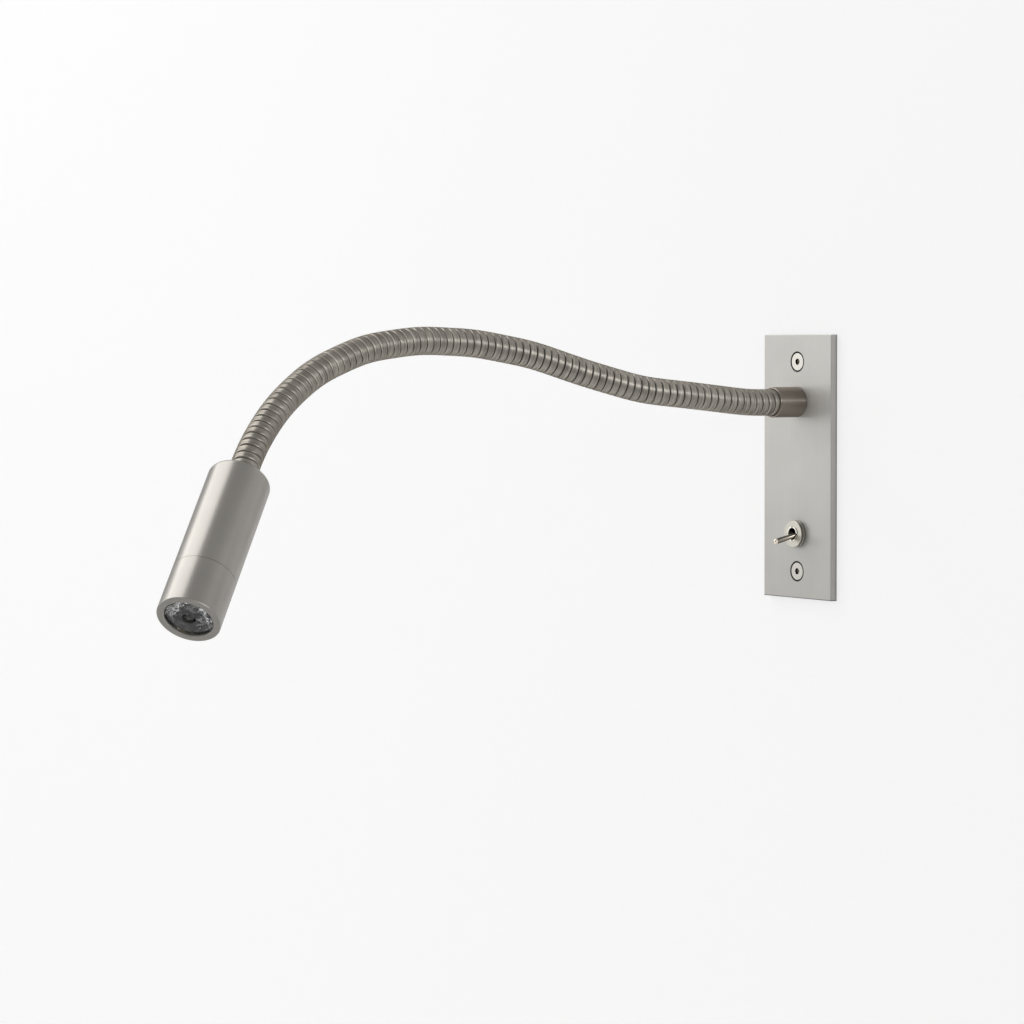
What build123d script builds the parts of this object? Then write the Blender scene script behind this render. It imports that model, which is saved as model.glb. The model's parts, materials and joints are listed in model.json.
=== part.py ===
from build123d import *
import math
import os

# A slim reading light on a flexible ribbed neck, screwed to a wall.
# Millimetres. The origin is the centre of the wall plate's back face.
# +X is to the right for someone facing the lamp, -Y comes out of the wall, +Z is up.

# ---------------------------------------------------------------- wall plate
PLATE_WIDTH = 43.0
PLATE_HEIGHT = 110.0
PLATE_THICK = 3.2
PLATE_BEVEL = 0.35

# ---------------------------------------------------------------- fixing screws
SCREW_SPACING = 87.5
SCREW_D = 4.0
SCREW_LENGTH = 20.0
SCREW_HEAD_D = 7.6
SCREW_SINK = 0.1
SCREW_KEY_AF = 2.5
SCREW_KEY_DEPTH = 1.6
SCREW_TIP = 0.5
SCREW_NECK_D = 3.5
SCREW_THREAD_BEHIND_PLATE = 0.3
SCREW_HOLE_GAP = 0.2
COUNTERSINK_GAP = 0.35

# ---------------------------------------------------------------- clearances
FIT_GAP = 0.05
THREAD_GAP = 0.05
HOLE_GAP = 0.15
CUT_PAST = 1.0

# ---------------------------------------------------------------- collar, nipple and nut
COLLAR_HEIGHT_ON_PLATE = 27.0
COLLAR_D = 12.6
COLLAR_LENGTH = 13.0
COLLAR_ROUND = 0.4
COLLAR_THREAD_DEPTH = 5.0
NIPPLE_D = 10.0
NIPPLE_BORE_D = 6.6
NIPPLE_SHORT_OF_NECK = 0.2
NIPPLE_BEHIND_NUT = 4.0
NIPPLE_EDGE = 0.4
NECK_WASHER_D = 16.0
NECK_WASHER_THICK = 0.8
NECK_NUT_AF = 14.0
NECK_NUT_THICK = 4.0
WASHER_TEETH = 12
TOOTH_WIDTH = 0.9
TOOTH_DEPTH = 0.8

# ---------------------------------------------------------------- flexible neck
NECK_D = 11.0
RIB_PITCH = 3.3
RIBS_PER_LINK = 4
LINK_COUNT = 22
RIB_HEIGHT = 0.8
RIB_SLOPE = 0.35
GROOVE_HALF = 0.25
NECK_BORE_D = 5.2
MIN_BEND_RADIUS = 100.0
LINK_END_SPARE = 0.05
SOCKET_WALL = 0.6
BALL_GAP = 0.1
BALL_NOSE = 2.4
BALL_ROOT = 0.8
SLEEVE_D = 10.6
SLEEVE_END_GAP = 0.1
TAIL_LENGTH = 3.9

# How the neck is bent at rest, hinge by hinge from the wall, in degrees.
# Odd hinges raise the neck, even hinges turn it towards +X.
RAISE_AT_REST = (6.5, -0.5, 9.0, 2.5, -7.5, -7.5, -9.0, -12.5, -12.0, -8.5, -7.5)
TURN_AT_REST = (-4.0, -5.0, 0.5, 2.0, 4.0, 6.5, 2.0, 5.5, 10.0, 7.5)

# ---------------------------------------------------------------- cable in the neck
CABLE_D = 3.6
CABLE_BEHIND_NIPPLE = 3.2
CABLE_PAST_STUD = 1.5
CORD_ARC_SHARE = 0.45

# ---------------------------------------------------------------- toggle switch
SWITCH_BELOW_CENTRE = 28.0
BUSHING_D = 6.2
BUSHING_PROUD = 0.35
BUSHING_BEHIND = 3.4
BUSHING_MOUTH_R = 2.55
BUSHING_THROAT_R = 1.75
BUSHING_REAR_R = 2.45
BUSHING_SLOTS = 4
BUSHING_SLOT_WIDTH = 0.6
BUSHING_SLOT_DEPTH = 0.5
DRESS_NUT_D = 11.3
DRESS_NUT_THICK = 1.5
DRESS_NUT_EDGE = 0.15
FACE_WASHER_THICK = 0.9
LOCK_RING_D = 11.0
LOCK_RING_THICK = 0.6
BACK_NUT_AF = 8.0
BACK_NUT_THICK = 2.0
FRAME_THICK = 0.6
CASE_WIDTH = 8.0
CASE_HEIGHT = 13.0
CASE_DEPTH = 9.0
CASE_WALL = 0.9
CASE_BASE = 2.4
THROW_DEG = 25.0
LEVER_PIVOT_IN_PLATE = 1.6
LEVER_BALL_R = 1.85
LEVER_ROOT_R = 1.2
LEVER_TIP_R = 1.4
LEVER_PAST_BUSHING = 10.0
LEVER_TAIL_R = 1.1
LEVER_TAIL_LENGTH = 6.6
LEVER_TAIL_BORE_R = 0.75
LEVER_TAIL_BORE_DEPTH = 4.0
PLUNGER_REACH = 9.0
PLUNGER_HEAD_R = 0.95
PLUNGER_STEM = 1.6
SPRING_WIRE = 0.2
ROCKER_BELOW_PLUNGER = 0.2
ROCKER_THICK = 0.6
ROCKER_WIDTH = 2.2
ROCKER_LENGTH = 6.4
ROCKER_RIB_R = 0.5
ROCKER_TILT_DEG = 6.0
TERMINAL_WIDTH = 2.0
TERMINAL_THICK = 0.7
TERMINAL_BEHIND_CASE = 4.5
CONTACT_OFFSET = 2.8
CONTACT_GAP = 0.1

# ---------------------------------------------------------------- wire from cable to switch
JUMPER_D = 1.4
JUMPER_SIDE = 1.0
JUMPER_BACK = 9.0
JUMPER_END_RUN = 7.0

# ---------------------------------------------------------------- lamp head
HEAD_D = 23.5
HEAD_LENGTH = 67.5
HEAD_ROUND = 2.0
HEAD_BORE_D = 18.6
HEAD_REAR_WALL = 9.0
BARREL_LENGTH = 19.8
BARREL_BORE_D = 20.6
BARREL_ROUND = 0.4
BARREL_INNER_EDGE = 0.25
SEAM_GAP = 0.12
SPIGOT_LENGTH = 5.0
LIP_THICK = 1.1
WINDOW_D = 18.1

# ---------------------------------------------------------------- fitting in the head's back
STUD_D = 8.0
STUD_BORE_D = 4.2
STUD_SPIGOT_LENGTH = 8.0
STUD_PAST_NUT = 0.9
HEAD_WASHER_D = 13.0
HEAD_WASHER_THICK = 0.6
HEAD_NUT_AF = 11.0
HEAD_NUT_THICK = 3.0

# ---------------------------------------------------------------- light engine
SINK_THICK = 12.0
SINK_BEHIND_SPIGOT = 2.7
SINK_EDGE = 0.4
BOARD_D = 17.8
BOARD_THICK = 1.6
LEAD_D = 1.2
LEAD_CIRCLE_R = 7.2
LEAD_HOLE_GAP = 0.3
LEAD_START_R = 0.8
LEAD_PROUD = 0.6
BOARD_SCREW_CIRCLE_R = 6.6
BOARD_SCREW_D = 2.0
BOARD_SCREW_LENGTH = 6.0
BOARD_SCREW_HEAD_D = 3.8
BOARD_SCREW_HEAD = 1.3
BOARD_SCREW_SLOT = 0.5
EMITTER_SIDE = 3.45
EMITTER_THICK = 0.7
EMITTER_DOME_R = 1.4

# ---------------------------------------------------------------- lens, holder and gasket
LENS_FRONT_SET_BACK = 0.5
LENS_DOME = 0.45
LENS_FLANGE_THICK = 1.2
LENS_SIDE_GAP = 0.15
LENS_NECK_R = 3.2
LENS_BODY_LENGTH = 11.0
LENS_POCKET_R = 2.2
LENS_POCKET_DEPTH = 3.6
HOLDER_WALL = 1.0
HOLDER_GAP = 0.4
HOLDER_FOOT_GAP = 0.05
GASKET_WIRE_D = 0.9
GASKET_GAP = 0.03

# ---------------------------------------------------------------- places worked out from the sizes
LINK = RIB_PITCH * RIBS_PER_LINK
NECK_R = NECK_D / 2
ROOT_R = NECK_R - RIB_HEIGHT
NECK_BORE_R = NECK_BORE_D / 2
BEND_LIMIT_DEG = math.degrees(2 * LINK / MIN_BEND_RADIUS)
END_GAP_HALF = ROOT_R * math.tan(math.radians(BEND_LIMIT_DEG / 2)) + LINK_END_SPARE
SOCKET_R = ROOT_R - SOCKET_WALL
BALL_R = SOCKET_R - BALL_GAP
SLEEVE_LENGTH = COLLAR_LENGTH - COLLAR_THREAD_DEPTH - SLEEVE_END_GAP
COLLAR_FRONT = PLATE_THICK + COLLAR_LENGTH
NIPPLE_BACK = NECK_WASHER_THICK + NECK_NUT_THICK + NIPPLE_BEHIND_NUT
BUSHING_FRONT = PLATE_THICK + DRESS_NUT_THICK + FACE_WASHER_THICK + BUSHING_PROUD
PIVOT_OUT = PLATE_THICK - LEVER_PIVOT_IN_PLATE
CASE_FRONT = -(BUSHING_BEHIND + FRAME_THICK)
CASE_BACK = CASE_FRONT - CASE_DEPTH
ROCKER_TOP = PIVOT_OUT - PLUNGER_REACH - ROCKER_BELOW_PLUNGER
ROCKER_AXIS = ROCKER_TOP - ROCKER_THICK
TERMINAL_BACK = CASE_BACK - TERMINAL_BEHIND_CASE
SEAM = HEAD_LENGTH - BARREL_LENGTH
SPIGOT_FRONT = SEAM + SPIGOT_LENGTH
SINK_FRONT = SPIGOT_FRONT - SINK_BEHIND_SPIGOT
SINK_BACK = SINK_FRONT - SINK_THICK
BOARD_FRONT = SINK_FRONT + BOARD_THICK
STUD_FRONT = HEAD_REAR_WALL + HEAD_WASHER_THICK + HEAD_NUT_THICK + STUD_PAST_NUT
LIP_BACK = HEAD_LENGTH - LIP_THICK
FLANGE_FRONT = LIP_BACK - GASKET_WIRE_D - 2 * GASKET_GAP
FLANGE_BACK = FLANGE_FRONT - LENS_FLANGE_THICK
FLANGE_R = BARREL_BORE_D / 2 - LENS_SIDE_GAP
BOSS_R = WINDOW_D / 2 - LENS_SIDE_GAP
LENS_BACK = FLANGE_BACK - LENS_BODY_LENGTH


# ---------------------------------------------------------------- helpers
def turned(outline):
    """Turn a closed outline of (radius, height) points about the local Z axis."""
    face = make_face(Plane.XZ * Polyline(*outline, close=True))
    return revolve(face, Axis.Z)


def tube(outer_r, inner_r, low, high):
    """A plain tube about the local Z axis."""
    return turned([(inner_r, low), (outer_r, low), (outer_r, high), (inner_r, high)])


def rod(radius, low, high):
    """A plain round bar along the local Z axis."""
    return Pos(0, 0, low) * Cylinder(radius, high - low, align=(Align.CENTER, Align.CENTER, Align.MIN))


def block(width, height, low, high):
    """A block centred on the local Z axis: width along X, height along Y."""
    return Pos(0, 0, low) * Box(width, height, high - low, align=(Align.CENTER, Align.CENTER, Align.MIN))


def hexagon(across_flats, low, high):
    """A hexagonal bar along the local Z axis."""
    sketch = RegularPolygon(across_flats / 2, 6, major_radius=False)
    return Pos(0, 0, low) * extrude(sketch, high - low)


def hex_nut(across_flats, hole_r, low, high):
    """A hexagonal nut whose corners are turned off at 30 degrees on both faces."""
    corner_r = across_flats / math.sqrt(3)
    drop = (corner_r - across_flats / 2) * math.tan(math.radians(30))
    flat_r = across_flats / 2
    barrel = turned(
        [
            (0, low),
            (flat_r, low),
            (corner_r, low + drop),
            (corner_r, high - drop),
            (flat_r, high),
            (0, high),
        ]
    )
    return (hexagon(across_flats, low, high) & barrel) - rod(hole_r, low, high)


def tooth_washer(outer_r, inner_r, low, high):
    """A lock washer with teeth between slots around its hole."""
    washer = tube(outer_r, inner_r, low, high)
    slot = Pos(inner_r, 0, 0) * block(2 * TOOTH_DEPTH, TOOTH_WIDTH, low, high)
    return washer - [Rot(0, 0, k * 360 / WASHER_TEETH) * slot for k in range(WASHER_TEETH)]


def rim(solid, height):
    """The widest circular edge of a turned piece at one height."""
    circles = [e for e in solid.edges().filter_by(GeomType.CIRCLE) if abs(e.center().Z - height) < 1e-4]
    return max(circles, key=lambda e: e.radius)


def wall_frame(height=0.0):
    """Local frame on the plate's back face: Z comes out of the wall, Y is up."""
    return Plane(origin=(0, 0, height), x_dir=(1, 0, 0), z_dir=(0, -1, 0))


def save(name, frame, *solids):
    """Place one piece, or a group of separate like pieces, and write its file."""
    placed = [frame.location * solid for solid in solids]
    shape = placed[0] if len(placed) == 1 else Compound(children=placed)
    export_step(shape, f"parts/{name}.step")


def cord_path(points):
    """Straight runs joined by arcs as large as the runs beside each corner allow."""
    points = [Vector(*p) for p in points]
    radii = []
    for before, corner, after in zip(points, points[1:], points[2:]):
        turn = (corner - before).get_angle(after - corner)
        shorter = min((corner - before).length, (after - corner).length)
        radii.append(CORD_ARC_SHARE * shorter / math.tan(math.radians(turn / 2)))
    print("cord radii", [round(r, 1) for r in radii])
    return FilletPolyline(*points, radius=radii)


def cord(points, diameter):
    """A round cord along its route, checked against its section times its length."""
    path = cord_path(points)
    section = Plane(origin=path @ 0, z_dir=path % 0) * Circle(diameter / 2)
    solid = sweep(section, path=path)
    expected = math.pi * diameter**2 / 4 * path.length
    print("cord length", round(path.length, 1), "volume ratio", round(solid.volume / expected, 4))
    return solid


def report_hinge(name, point, axis, low, high):
    """Print a hinge's place, axis and range for whoever writes the record."""
    place = " ".join(f"{v / 1000:.6f}" for v in point)
    direction = " ".join(f"{v:.6f}" for v in axis)
    print(f"hinge {name} at {place} axis {direction} range {low:.3f} {high:.3f}")


# ---------------------------------------------------------------- wall plate and its screws
def wall_plate():
    """Flat steel plate with two countersunk holes, the neck's hole and the switch's hole."""
    plate = block(PLATE_WIDTH, PLATE_HEIGHT, 0, PLATE_THICK)
    plate = chamfer(plate.faces().sort_by(Axis.Z)[-1].edges(), PLATE_BEVEL)
    sink_r = SCREW_HEAD_D / 2 + COUNTERSINK_GAP
    hole_r = SCREW_D / 2 + SCREW_HOLE_GAP
    sink = turned(
        [
            (0, -CUT_PAST),
            (hole_r, -CUT_PAST),
            (hole_r, PLATE_THICK - (sink_r - hole_r)),
            (sink_r, PLATE_THICK),
            (sink_r, PLATE_THICK + CUT_PAST),
            (0, PLATE_THICK + CUT_PAST),
        ]
    )
    for side in (-1, 1):
        plate -= Pos(0, side * SCREW_SPACING / 2, 0) * sink
    low = -CUT_PAST
    high = PLATE_THICK + CUT_PAST
    plate -= Pos(0, COLLAR_HEIGHT_ON_PLATE, 0) * rod(NIPPLE_D / 2 + HOLE_GAP, low, high)
    plate -= Pos(0, -SWITCH_BELOW_CENTRE, 0) * rod(BUSHING_D / 2 + HOLE_GAP, low, high)
    return plate


def fixing_screw():
    """Countersunk screw with a hexagon socket; its thread is at full diameter behind the plate."""
    top = PLATE_THICK - SCREW_SINK
    head_r = SCREW_HEAD_D / 2
    thread_r = SCREW_D / 2
    neck_r = SCREW_NECK_D / 2
    tip = top - SCREW_LENGTH
    screw = turned(
        [
            (0, tip),
            (thread_r - SCREW_TIP, tip),
            (thread_r, tip + SCREW_TIP),
            (thread_r, -SCREW_THREAD_BEHIND_PLATE),
            (neck_r, -SCREW_THREAD_BEHIND_PLATE),
            (neck_r, top - (head_r - neck_r)),
            (head_r, top),
            (0, top),
        ]
    )
    return screw - hexagon(SCREW_KEY_AF, top - SCREW_KEY_DEPTH, top + CUT_PAST)


# ---------------------------------------------------------------- how the neck meets the plate
def neck_collar():
    """Turned ferrule: threaded on the nipple at the back, the neck's sleeve in its front."""
    thread_r = NIPPLE_D / 2 + THREAD_GAP
    sleeve_r = SLEEVE_D / 2 + FIT_GAP
    step = PLATE_THICK + COLLAR_THREAD_DEPTH
    collar = turned(
        [
            (thread_r, PLATE_THICK),
            (COLLAR_D / 2, PLATE_THICK),
            (COLLAR_D / 2, COLLAR_FRONT),
            (sleeve_r, COLLAR_FRONT),
            (sleeve_r, step),
            (thread_r, step),
        ]
    )
    return fillet([rim(collar, PLATE_THICK), rim(collar, COLLAR_FRONT)], COLLAR_ROUND)


def neck_nipple():
    """Hollow threaded rod that passes through the plate into the collar."""
    front = PLATE_THICK + COLLAR_THREAD_DEPTH - NIPPLE_SHORT_OF_NECK
    nipple = tube(NIPPLE_D / 2, NIPPLE_BORE_D / 2, -NIPPLE_BACK, front)
    return chamfer([rim(nipple, -NIPPLE_BACK), rim(nipple, front)], NIPPLE_EDGE)


def neck_washer():
    """Toothed lock washer under the nut behind the plate."""
    return tooth_washer(NECK_WASHER_D / 2, NIPPLE_D / 2 + HOLE_GAP, -NECK_WASHER_THICK, 0)


def neck_nut():
    """Hexagonal nut that clamps the neck to the plate."""
    back = -(NECK_WASHER_THICK + NECK_NUT_THICK)
    return hex_nut(NECK_NUT_AF, NIPPLE_D / 2 + THREAD_GAP, back, -NECK_WASHER_THICK)


# ---------------------------------------------------------------- toggle switch
def switch_bushing():
    """Threaded bushing that carries the lever's ball, slotted across its bright mouth."""
    seat_r = LEVER_BALL_R + FIT_GAP
    throat = PIVOT_OUT + math.sqrt(LEVER_BALL_R**2 - LEVER_ROOT_R**2)
    outline = [
        (BUSHING_REAR_R, -BUSHING_BEHIND),
        (BUSHING_D / 2, -BUSHING_BEHIND),
        (BUSHING_D / 2, BUSHING_FRONT),
        (BUSHING_MOUTH_R, BUSHING_FRONT),
        (BUSHING_THROAT_R, throat),
        (seat_r, throat - (seat_r - BUSHING_THROAT_R)),
        (seat_r, PIVOT_OUT - LEVER_BALL_R / 2),
        (BUSHING_REAR_R, PIVOT_OUT - LEVER_BALL_R),
    ]
    bushing = turned(outline)
    slot_floor = BUSHING_FRONT - BUSHING_SLOT_DEPTH
    slot = block(BUSHING_D + CUT_PAST, BUSHING_SLOT_WIDTH, slot_floor, BUSHING_FRONT + CUT_PAST)
    return bushing - [Rot(0, 0, k * 360 / BUSHING_SLOTS) * slot for k in range(BUSHING_SLOTS // 2)]


def switch_face_washer():
    """Plain round washer between the plate and the dress nut."""
    washer = tube(DRESS_NUT_D / 2, BUSHING_D / 2 + THREAD_GAP, PLATE_THICK, PLATE_THICK + FACE_WASHER_THICK)
    return chamfer(rim(washer, PLATE_THICK + FACE_WASHER_THICK), DRESS_NUT_EDGE)


def switch_dress_nut():
    """Round nickel nut that shows on the plate's face."""
    low = PLATE_THICK + FACE_WASHER_THICK
    nut = tube(DRESS_NUT_D / 2, BUSHING_D / 2 + THREAD_GAP, low, low + DRESS_NUT_THICK)
    return chamfer([rim(nut, low), rim(nut, low + DRESS_NUT_THICK)], DRESS_NUT_EDGE)


def switch_lock_ring():
    """Toothed ring behind the plate that stops the switch from turning."""
    return tooth_washer(LOCK_RING_D / 2, BUSHING_D / 2 + THREAD_GAP, -LOCK_RING_THICK, 0)


def switch_back_nut():
    """Thin hexagonal nut that sets the switch's depth."""
    back = -(LOCK_RING_THICK + BACK_NUT_THICK)
    return hex_nut(BACK_NUT_AF, BUSHING_D / 2 + THREAD_GAP, back, -LOCK_RING_THICK)


def switch_frame():
    """Steel plate that closes the switch's case and carries its bushing."""
    plate = block(CASE_WIDTH, CASE_HEIGHT, CASE_FRONT, -BUSHING_BEHIND)
    return plate - rod(BUSHING_REAR_R, CASE_FRONT - CUT_PAST, 0)


def switch_case():
    """Moulded cup behind the frame, its base pierced for the two terminals."""
    case = block(CASE_WIDTH, CASE_HEIGHT, CASE_BACK, CASE_FRONT)
    case = fillet(case.edges().filter_by(Axis.Z), CASE_WALL / 2)
    case -= block(CASE_WIDTH - 2 * CASE_WALL, CASE_HEIGHT - 2 * CASE_WALL, CASE_BACK + CASE_BASE, CASE_FRONT)
    slot = block(TERMINAL_WIDTH + 2 * FIT_GAP, TERMINAL_THICK + 2 * FIT_GAP, CASE_BACK, CASE_BACK + CASE_BASE)
    for offset in (0, -CONTACT_OFFSET):
        case -= Pos(0, offset, 0) * slot
    return case


def pivot_terminal():
    """Middle lug, notched on top for the rocker's rib."""
    lug = block(TERMINAL_WIDTH, TERMINAL_THICK, TERMINAL_BACK, ROCKER_AXIS)
    notch = Pos(0, 0, ROCKER_AXIS) * Rot(0, 90, 0) * Cylinder(ROCKER_RIB_R + FIT_GAP, TERMINAL_WIDTH)
    return lug - notch


def contact_terminal():
    """Lower lug, which the rocker meets when the lever is up."""
    dip = CONTACT_OFFSET * math.tan(math.radians(ROCKER_TILT_DEG))
    top = ROCKER_AXIS - dip - CONTACT_GAP
    return Pos(0, -CONTACT_OFFSET, 0) * block(TERMINAL_WIDTH, TERMINAL_THICK, TERMINAL_BACK, top)


def switch_rocker():
    """Contact seesaw on a rib, level here and tilted into place when it is saved."""
    plate = block(ROCKER_WIDTH, ROCKER_LENGTH, ROCKER_AXIS, ROCKER_TOP)
    rib = Pos(0, 0, ROCKER_AXIS) * Rot(0, 90, 0) * Cylinder(ROCKER_RIB_R, ROCKER_WIDTH)
    return plate + rib


def switch_lever():
    """Round-tipped lever on a ball, with a bored tail for the plunger's spring."""
    reach = BUSHING_FRONT - PIVOT_OUT + LEVER_PAST_BUSHING
    tip = reach - LEVER_TIP_R
    shaft = turned([(0, 0), (LEVER_ROOT_R, 0), (LEVER_TIP_R, tip), (0, tip)])
    lever = shaft + Pos(0, 0, tip) * Sphere(LEVER_TIP_R) + Sphere(LEVER_BALL_R)
    lever += rod(LEVER_TAIL_R, -LEVER_TAIL_LENGTH, 0)
    return lever - rod(LEVER_TAIL_BORE_R, -LEVER_TAIL_LENGTH, LEVER_TAIL_BORE_DEPTH - LEVER_TAIL_LENGTH)


def switch_plunger():
    """Nylon tip that the spring presses against the rocker."""
    stem_r = LEVER_TAIL_BORE_R - FIT_GAP
    seat = -LEVER_TAIL_LENGTH - FIT_GAP
    centre = PLUNGER_HEAD_R - PLUNGER_REACH
    head = Pos(0, 0, centre) * Sphere(PLUNGER_HEAD_R) + rod(PLUNGER_HEAD_R, centre, seat)
    return head + rod(stem_r, seat, seat + PLUNGER_STEM)


def switch_spring():
    """Spring in the lever's tail, shown as the sleeve that its coils fill."""
    outer_r = LEVER_TAIL_BORE_R - FIT_GAP
    low = -LEVER_TAIL_LENGTH - FIT_GAP + PLUNGER_STEM
    return tube(outer_r, outer_r - SPRING_WIRE, low, LEVER_TAIL_BORE_DEPTH - LEVER_TAIL_LENGTH)


# ---------------------------------------------------------------- ribbed neck links
def ribbed_tube(first_gap, last_gap):
    """Outside of one link: a ruled loft through four circles for each rib."""
    circles = []
    for rib in range(RIBS_PER_LINK):
        low = rib * RIB_PITCH + (first_gap if rib == 0 else GROOVE_HALF)
        high = (rib + 1) * RIB_PITCH - (last_gap if rib == RIBS_PER_LINK - 1 else GROOVE_HALF)
        circles.append((low, ROOT_R))
        circles.append((low + RIB_SLOPE, NECK_R))
        circles.append((high - RIB_SLOPE, NECK_R))
        circles.append((high, ROOT_R))
    sections = [Plane(origin=(0, 0, z), x_dir=(1, 0, 0), z_dir=(0, 0, 1)) * Circle(r) for z, r in circles]
    return loft(sections, ruled=True)


def neck_link(is_first, is_last):
    """One stretch of hose: a ball on its front end sits in the next stretch's socket."""
    link = ribbed_tube(GROOVE_HALF if is_first else END_GAP_HALF, GROOVE_HALF if is_last else END_GAP_HALF)
    if is_first:
        link += rod(SLEEVE_D / 2, -SLEEVE_LENGTH, GROOVE_HALF)
    if is_last:
        link += rod(ROOT_R, LINK - GROOVE_HALF, LINK + TAIL_LENGTH)
    else:
        nose = Sphere(BALL_R) & rod(BALL_R + CUT_PAST, -END_GAP_HALF - BALL_ROOT, BALL_NOSE)
        link += Pos(0, 0, LINK) * nose
    link -= rod(NECK_BORE_R, -SLEEVE_LENGTH - CUT_PAST, LINK + TAIL_LENGTH + BALL_NOSE)
    if not is_first:
        link -= Sphere(SOCKET_R)
    return link


def neck_frames():
    """Each link's frame at rest: Z along the link, X level, origin at its wall end."""
    place = Vector(0, -COLLAR_FRONT, COLLAR_HEIGHT_ON_PLATE)
    along = Vector(0, -1, 0)
    level = Vector(1, 0, 0)
    frames = []
    for number in range(1, LINK_COUNT + 1):
        frame = Plane(origin=place, x_dir=level, z_dir=along)
        frames.append(frame)
        place = place + along * LINK
        if number == LINK_COUNT:
            break
        if number % 2:
            axis = Axis((0, 0, 0), -frame.x_dir)
            angle = RAISE_AT_REST[number // 2]
        else:
            axis = Axis((0, 0, 0), frame.y_dir)
            angle = TURN_AT_REST[number // 2 - 1]
        along = along.rotate(axis, angle)
        level = level.rotate(axis, angle)
    return frames, Plane(origin=place, x_dir=level, z_dir=along)


def report_neck_hinges(frames):
    """Range of each hinge: the neck's tightest bend each way, less its bend at rest."""
    for number in range(1, LINK_COUNT):
        frame = frames[number - 1]
        pivot = frames[number].origin
        if number % 2:
            axis = -frame.x_dir
            bend = RAISE_AT_REST[number // 2]
        else:
            axis = frame.y_dir
            bend = TURN_AT_REST[number // 2 - 1]
        low = -BEND_LIMIT_DEG - bend
        high = BEND_LIMIT_DEG - bend
        if number > LINK_COUNT // 2:
            axis = -axis
            low, high = -high, -low
        report_hinge(f"neck_bend_{number:02d}", pivot, axis, low, high)


# ---------------------------------------------------------------- lamp head
def head_shell():
    """Rear tube of the head, closed at the back, with a spigot for the front barrel."""
    stud_r = STUD_D / 2 + THREAD_GAP
    tail_r = ROOT_R + FIT_GAP
    spigot_r = BARREL_BORE_D / 2 - THREAD_GAP
    tail_end = TAIL_LENGTH + FIT_GAP
    shell = turned(
        [
            (tail_r, 0),
            (HEAD_D / 2, 0),
            (HEAD_D / 2, SEAM),
            (spigot_r, SEAM),
            (spigot_r, SPIGOT_FRONT),
            (HEAD_BORE_D / 2, SPIGOT_FRONT),
            (HEAD_BORE_D / 2, HEAD_REAR_WALL),
            (stud_r, HEAD_REAR_WALL),
            (stud_r, tail_end),
            (tail_r, tail_end),
        ]
    )
    return fillet(rim(shell, 0), HEAD_ROUND)


def front_barrel():
    """Screwed-on front of the head, whose lip holds the lens."""
    low = SEAM + SEAM_GAP
    barrel = turned(
        [
            (BARREL_BORE_D / 2, low),
            (HEAD_D / 2, low),
            (HEAD_D / 2, HEAD_LENGTH),
            (WINDOW_D / 2 + BARREL_INNER_EDGE, HEAD_LENGTH),
            (WINDOW_D / 2, HEAD_LENGTH - BARREL_INNER_EDGE),
            (WINDOW_D / 2, LIP_BACK),
            (BARREL_BORE_D / 2, LIP_BACK),
        ]
    )
    return fillet(rim(barrel, HEAD_LENGTH), BARREL_ROUND)


def neck_stud():
    """Brass fitting crimped in the neck's end, its thread through the head's back."""
    bore_r = STUD_BORE_D / 2
    spigot_r = NECK_BORE_R - FIT_GAP
    low = TAIL_LENGTH - STUD_SPIGOT_LENGTH
    step = TAIL_LENGTH + 2 * FIT_GAP
    return turned(
        [
            (bore_r, low),
            (spigot_r, low),
            (spigot_r, step),
            (STUD_D / 2, step),
            (STUD_D / 2, STUD_FRONT),
            (bore_r, STUD_FRONT),
        ]
    )


def head_lock_washer():
    """Toothed washer inside the head's back wall."""
    inner_r = STUD_D / 2 + HOLE_GAP
    return tooth_washer(HEAD_WASHER_D / 2, inner_r, HEAD_REAR_WALL, HEAD_REAR_WALL + HEAD_WASHER_THICK)


def head_lock_nut():
    """Nut that clamps the head to the neck's fitting."""
    low = HEAD_REAR_WALL + HEAD_WASHER_THICK
    return hex_nut(HEAD_NUT_AF, STUD_D / 2 + THREAD_GAP, low, low + HEAD_NUT_THICK)


def lead_holes(low, high):
    """Holes for the two leads, either side along X."""
    hole = rod(LEAD_D / 2 + LEAD_HOLE_GAP, low, high)
    return [Pos(side * LEAD_CIRCLE_R, 0, 0) * hole for side in (-1, 1)]


def board_screw_holes(gap, low, high):
    """Holes for the board's two screws, either side along Y."""
    hole = rod(BOARD_SCREW_D / 2 + gap, low, high)
    return [Pos(0, side * BOARD_SCREW_CIRCLE_R, 0) * hole for side in (-1, 1)]


def heat_sink():
    """Aluminium plug that carries the light engine and warms into the shell."""
    sink = rod(HEAD_BORE_D / 2 - FIT_GAP, SINK_BACK, SINK_FRONT)
    sink = chamfer([rim(sink, SINK_BACK), rim(sink, SINK_FRONT)], SINK_EDGE)
    sink -= lead_holes(SINK_BACK - CUT_PAST, SINK_FRONT + CUT_PAST)
    tap_depth = BOARD_SCREW_LENGTH - BOARD_THICK + HOLE_GAP
    return sink - board_screw_holes(THREAD_GAP, SINK_FRONT - tap_depth, SINK_FRONT + CUT_PAST)


def led_board():
    """Round metal-core board on the plug's face."""
    low = SINK_FRONT - CUT_PAST
    high = BOARD_FRONT + CUT_PAST
    board = rod(BOARD_D / 2, SINK_FRONT, BOARD_FRONT) - lead_holes(low, high)
    return board - board_screw_holes(HOLE_GAP, low, high)


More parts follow.
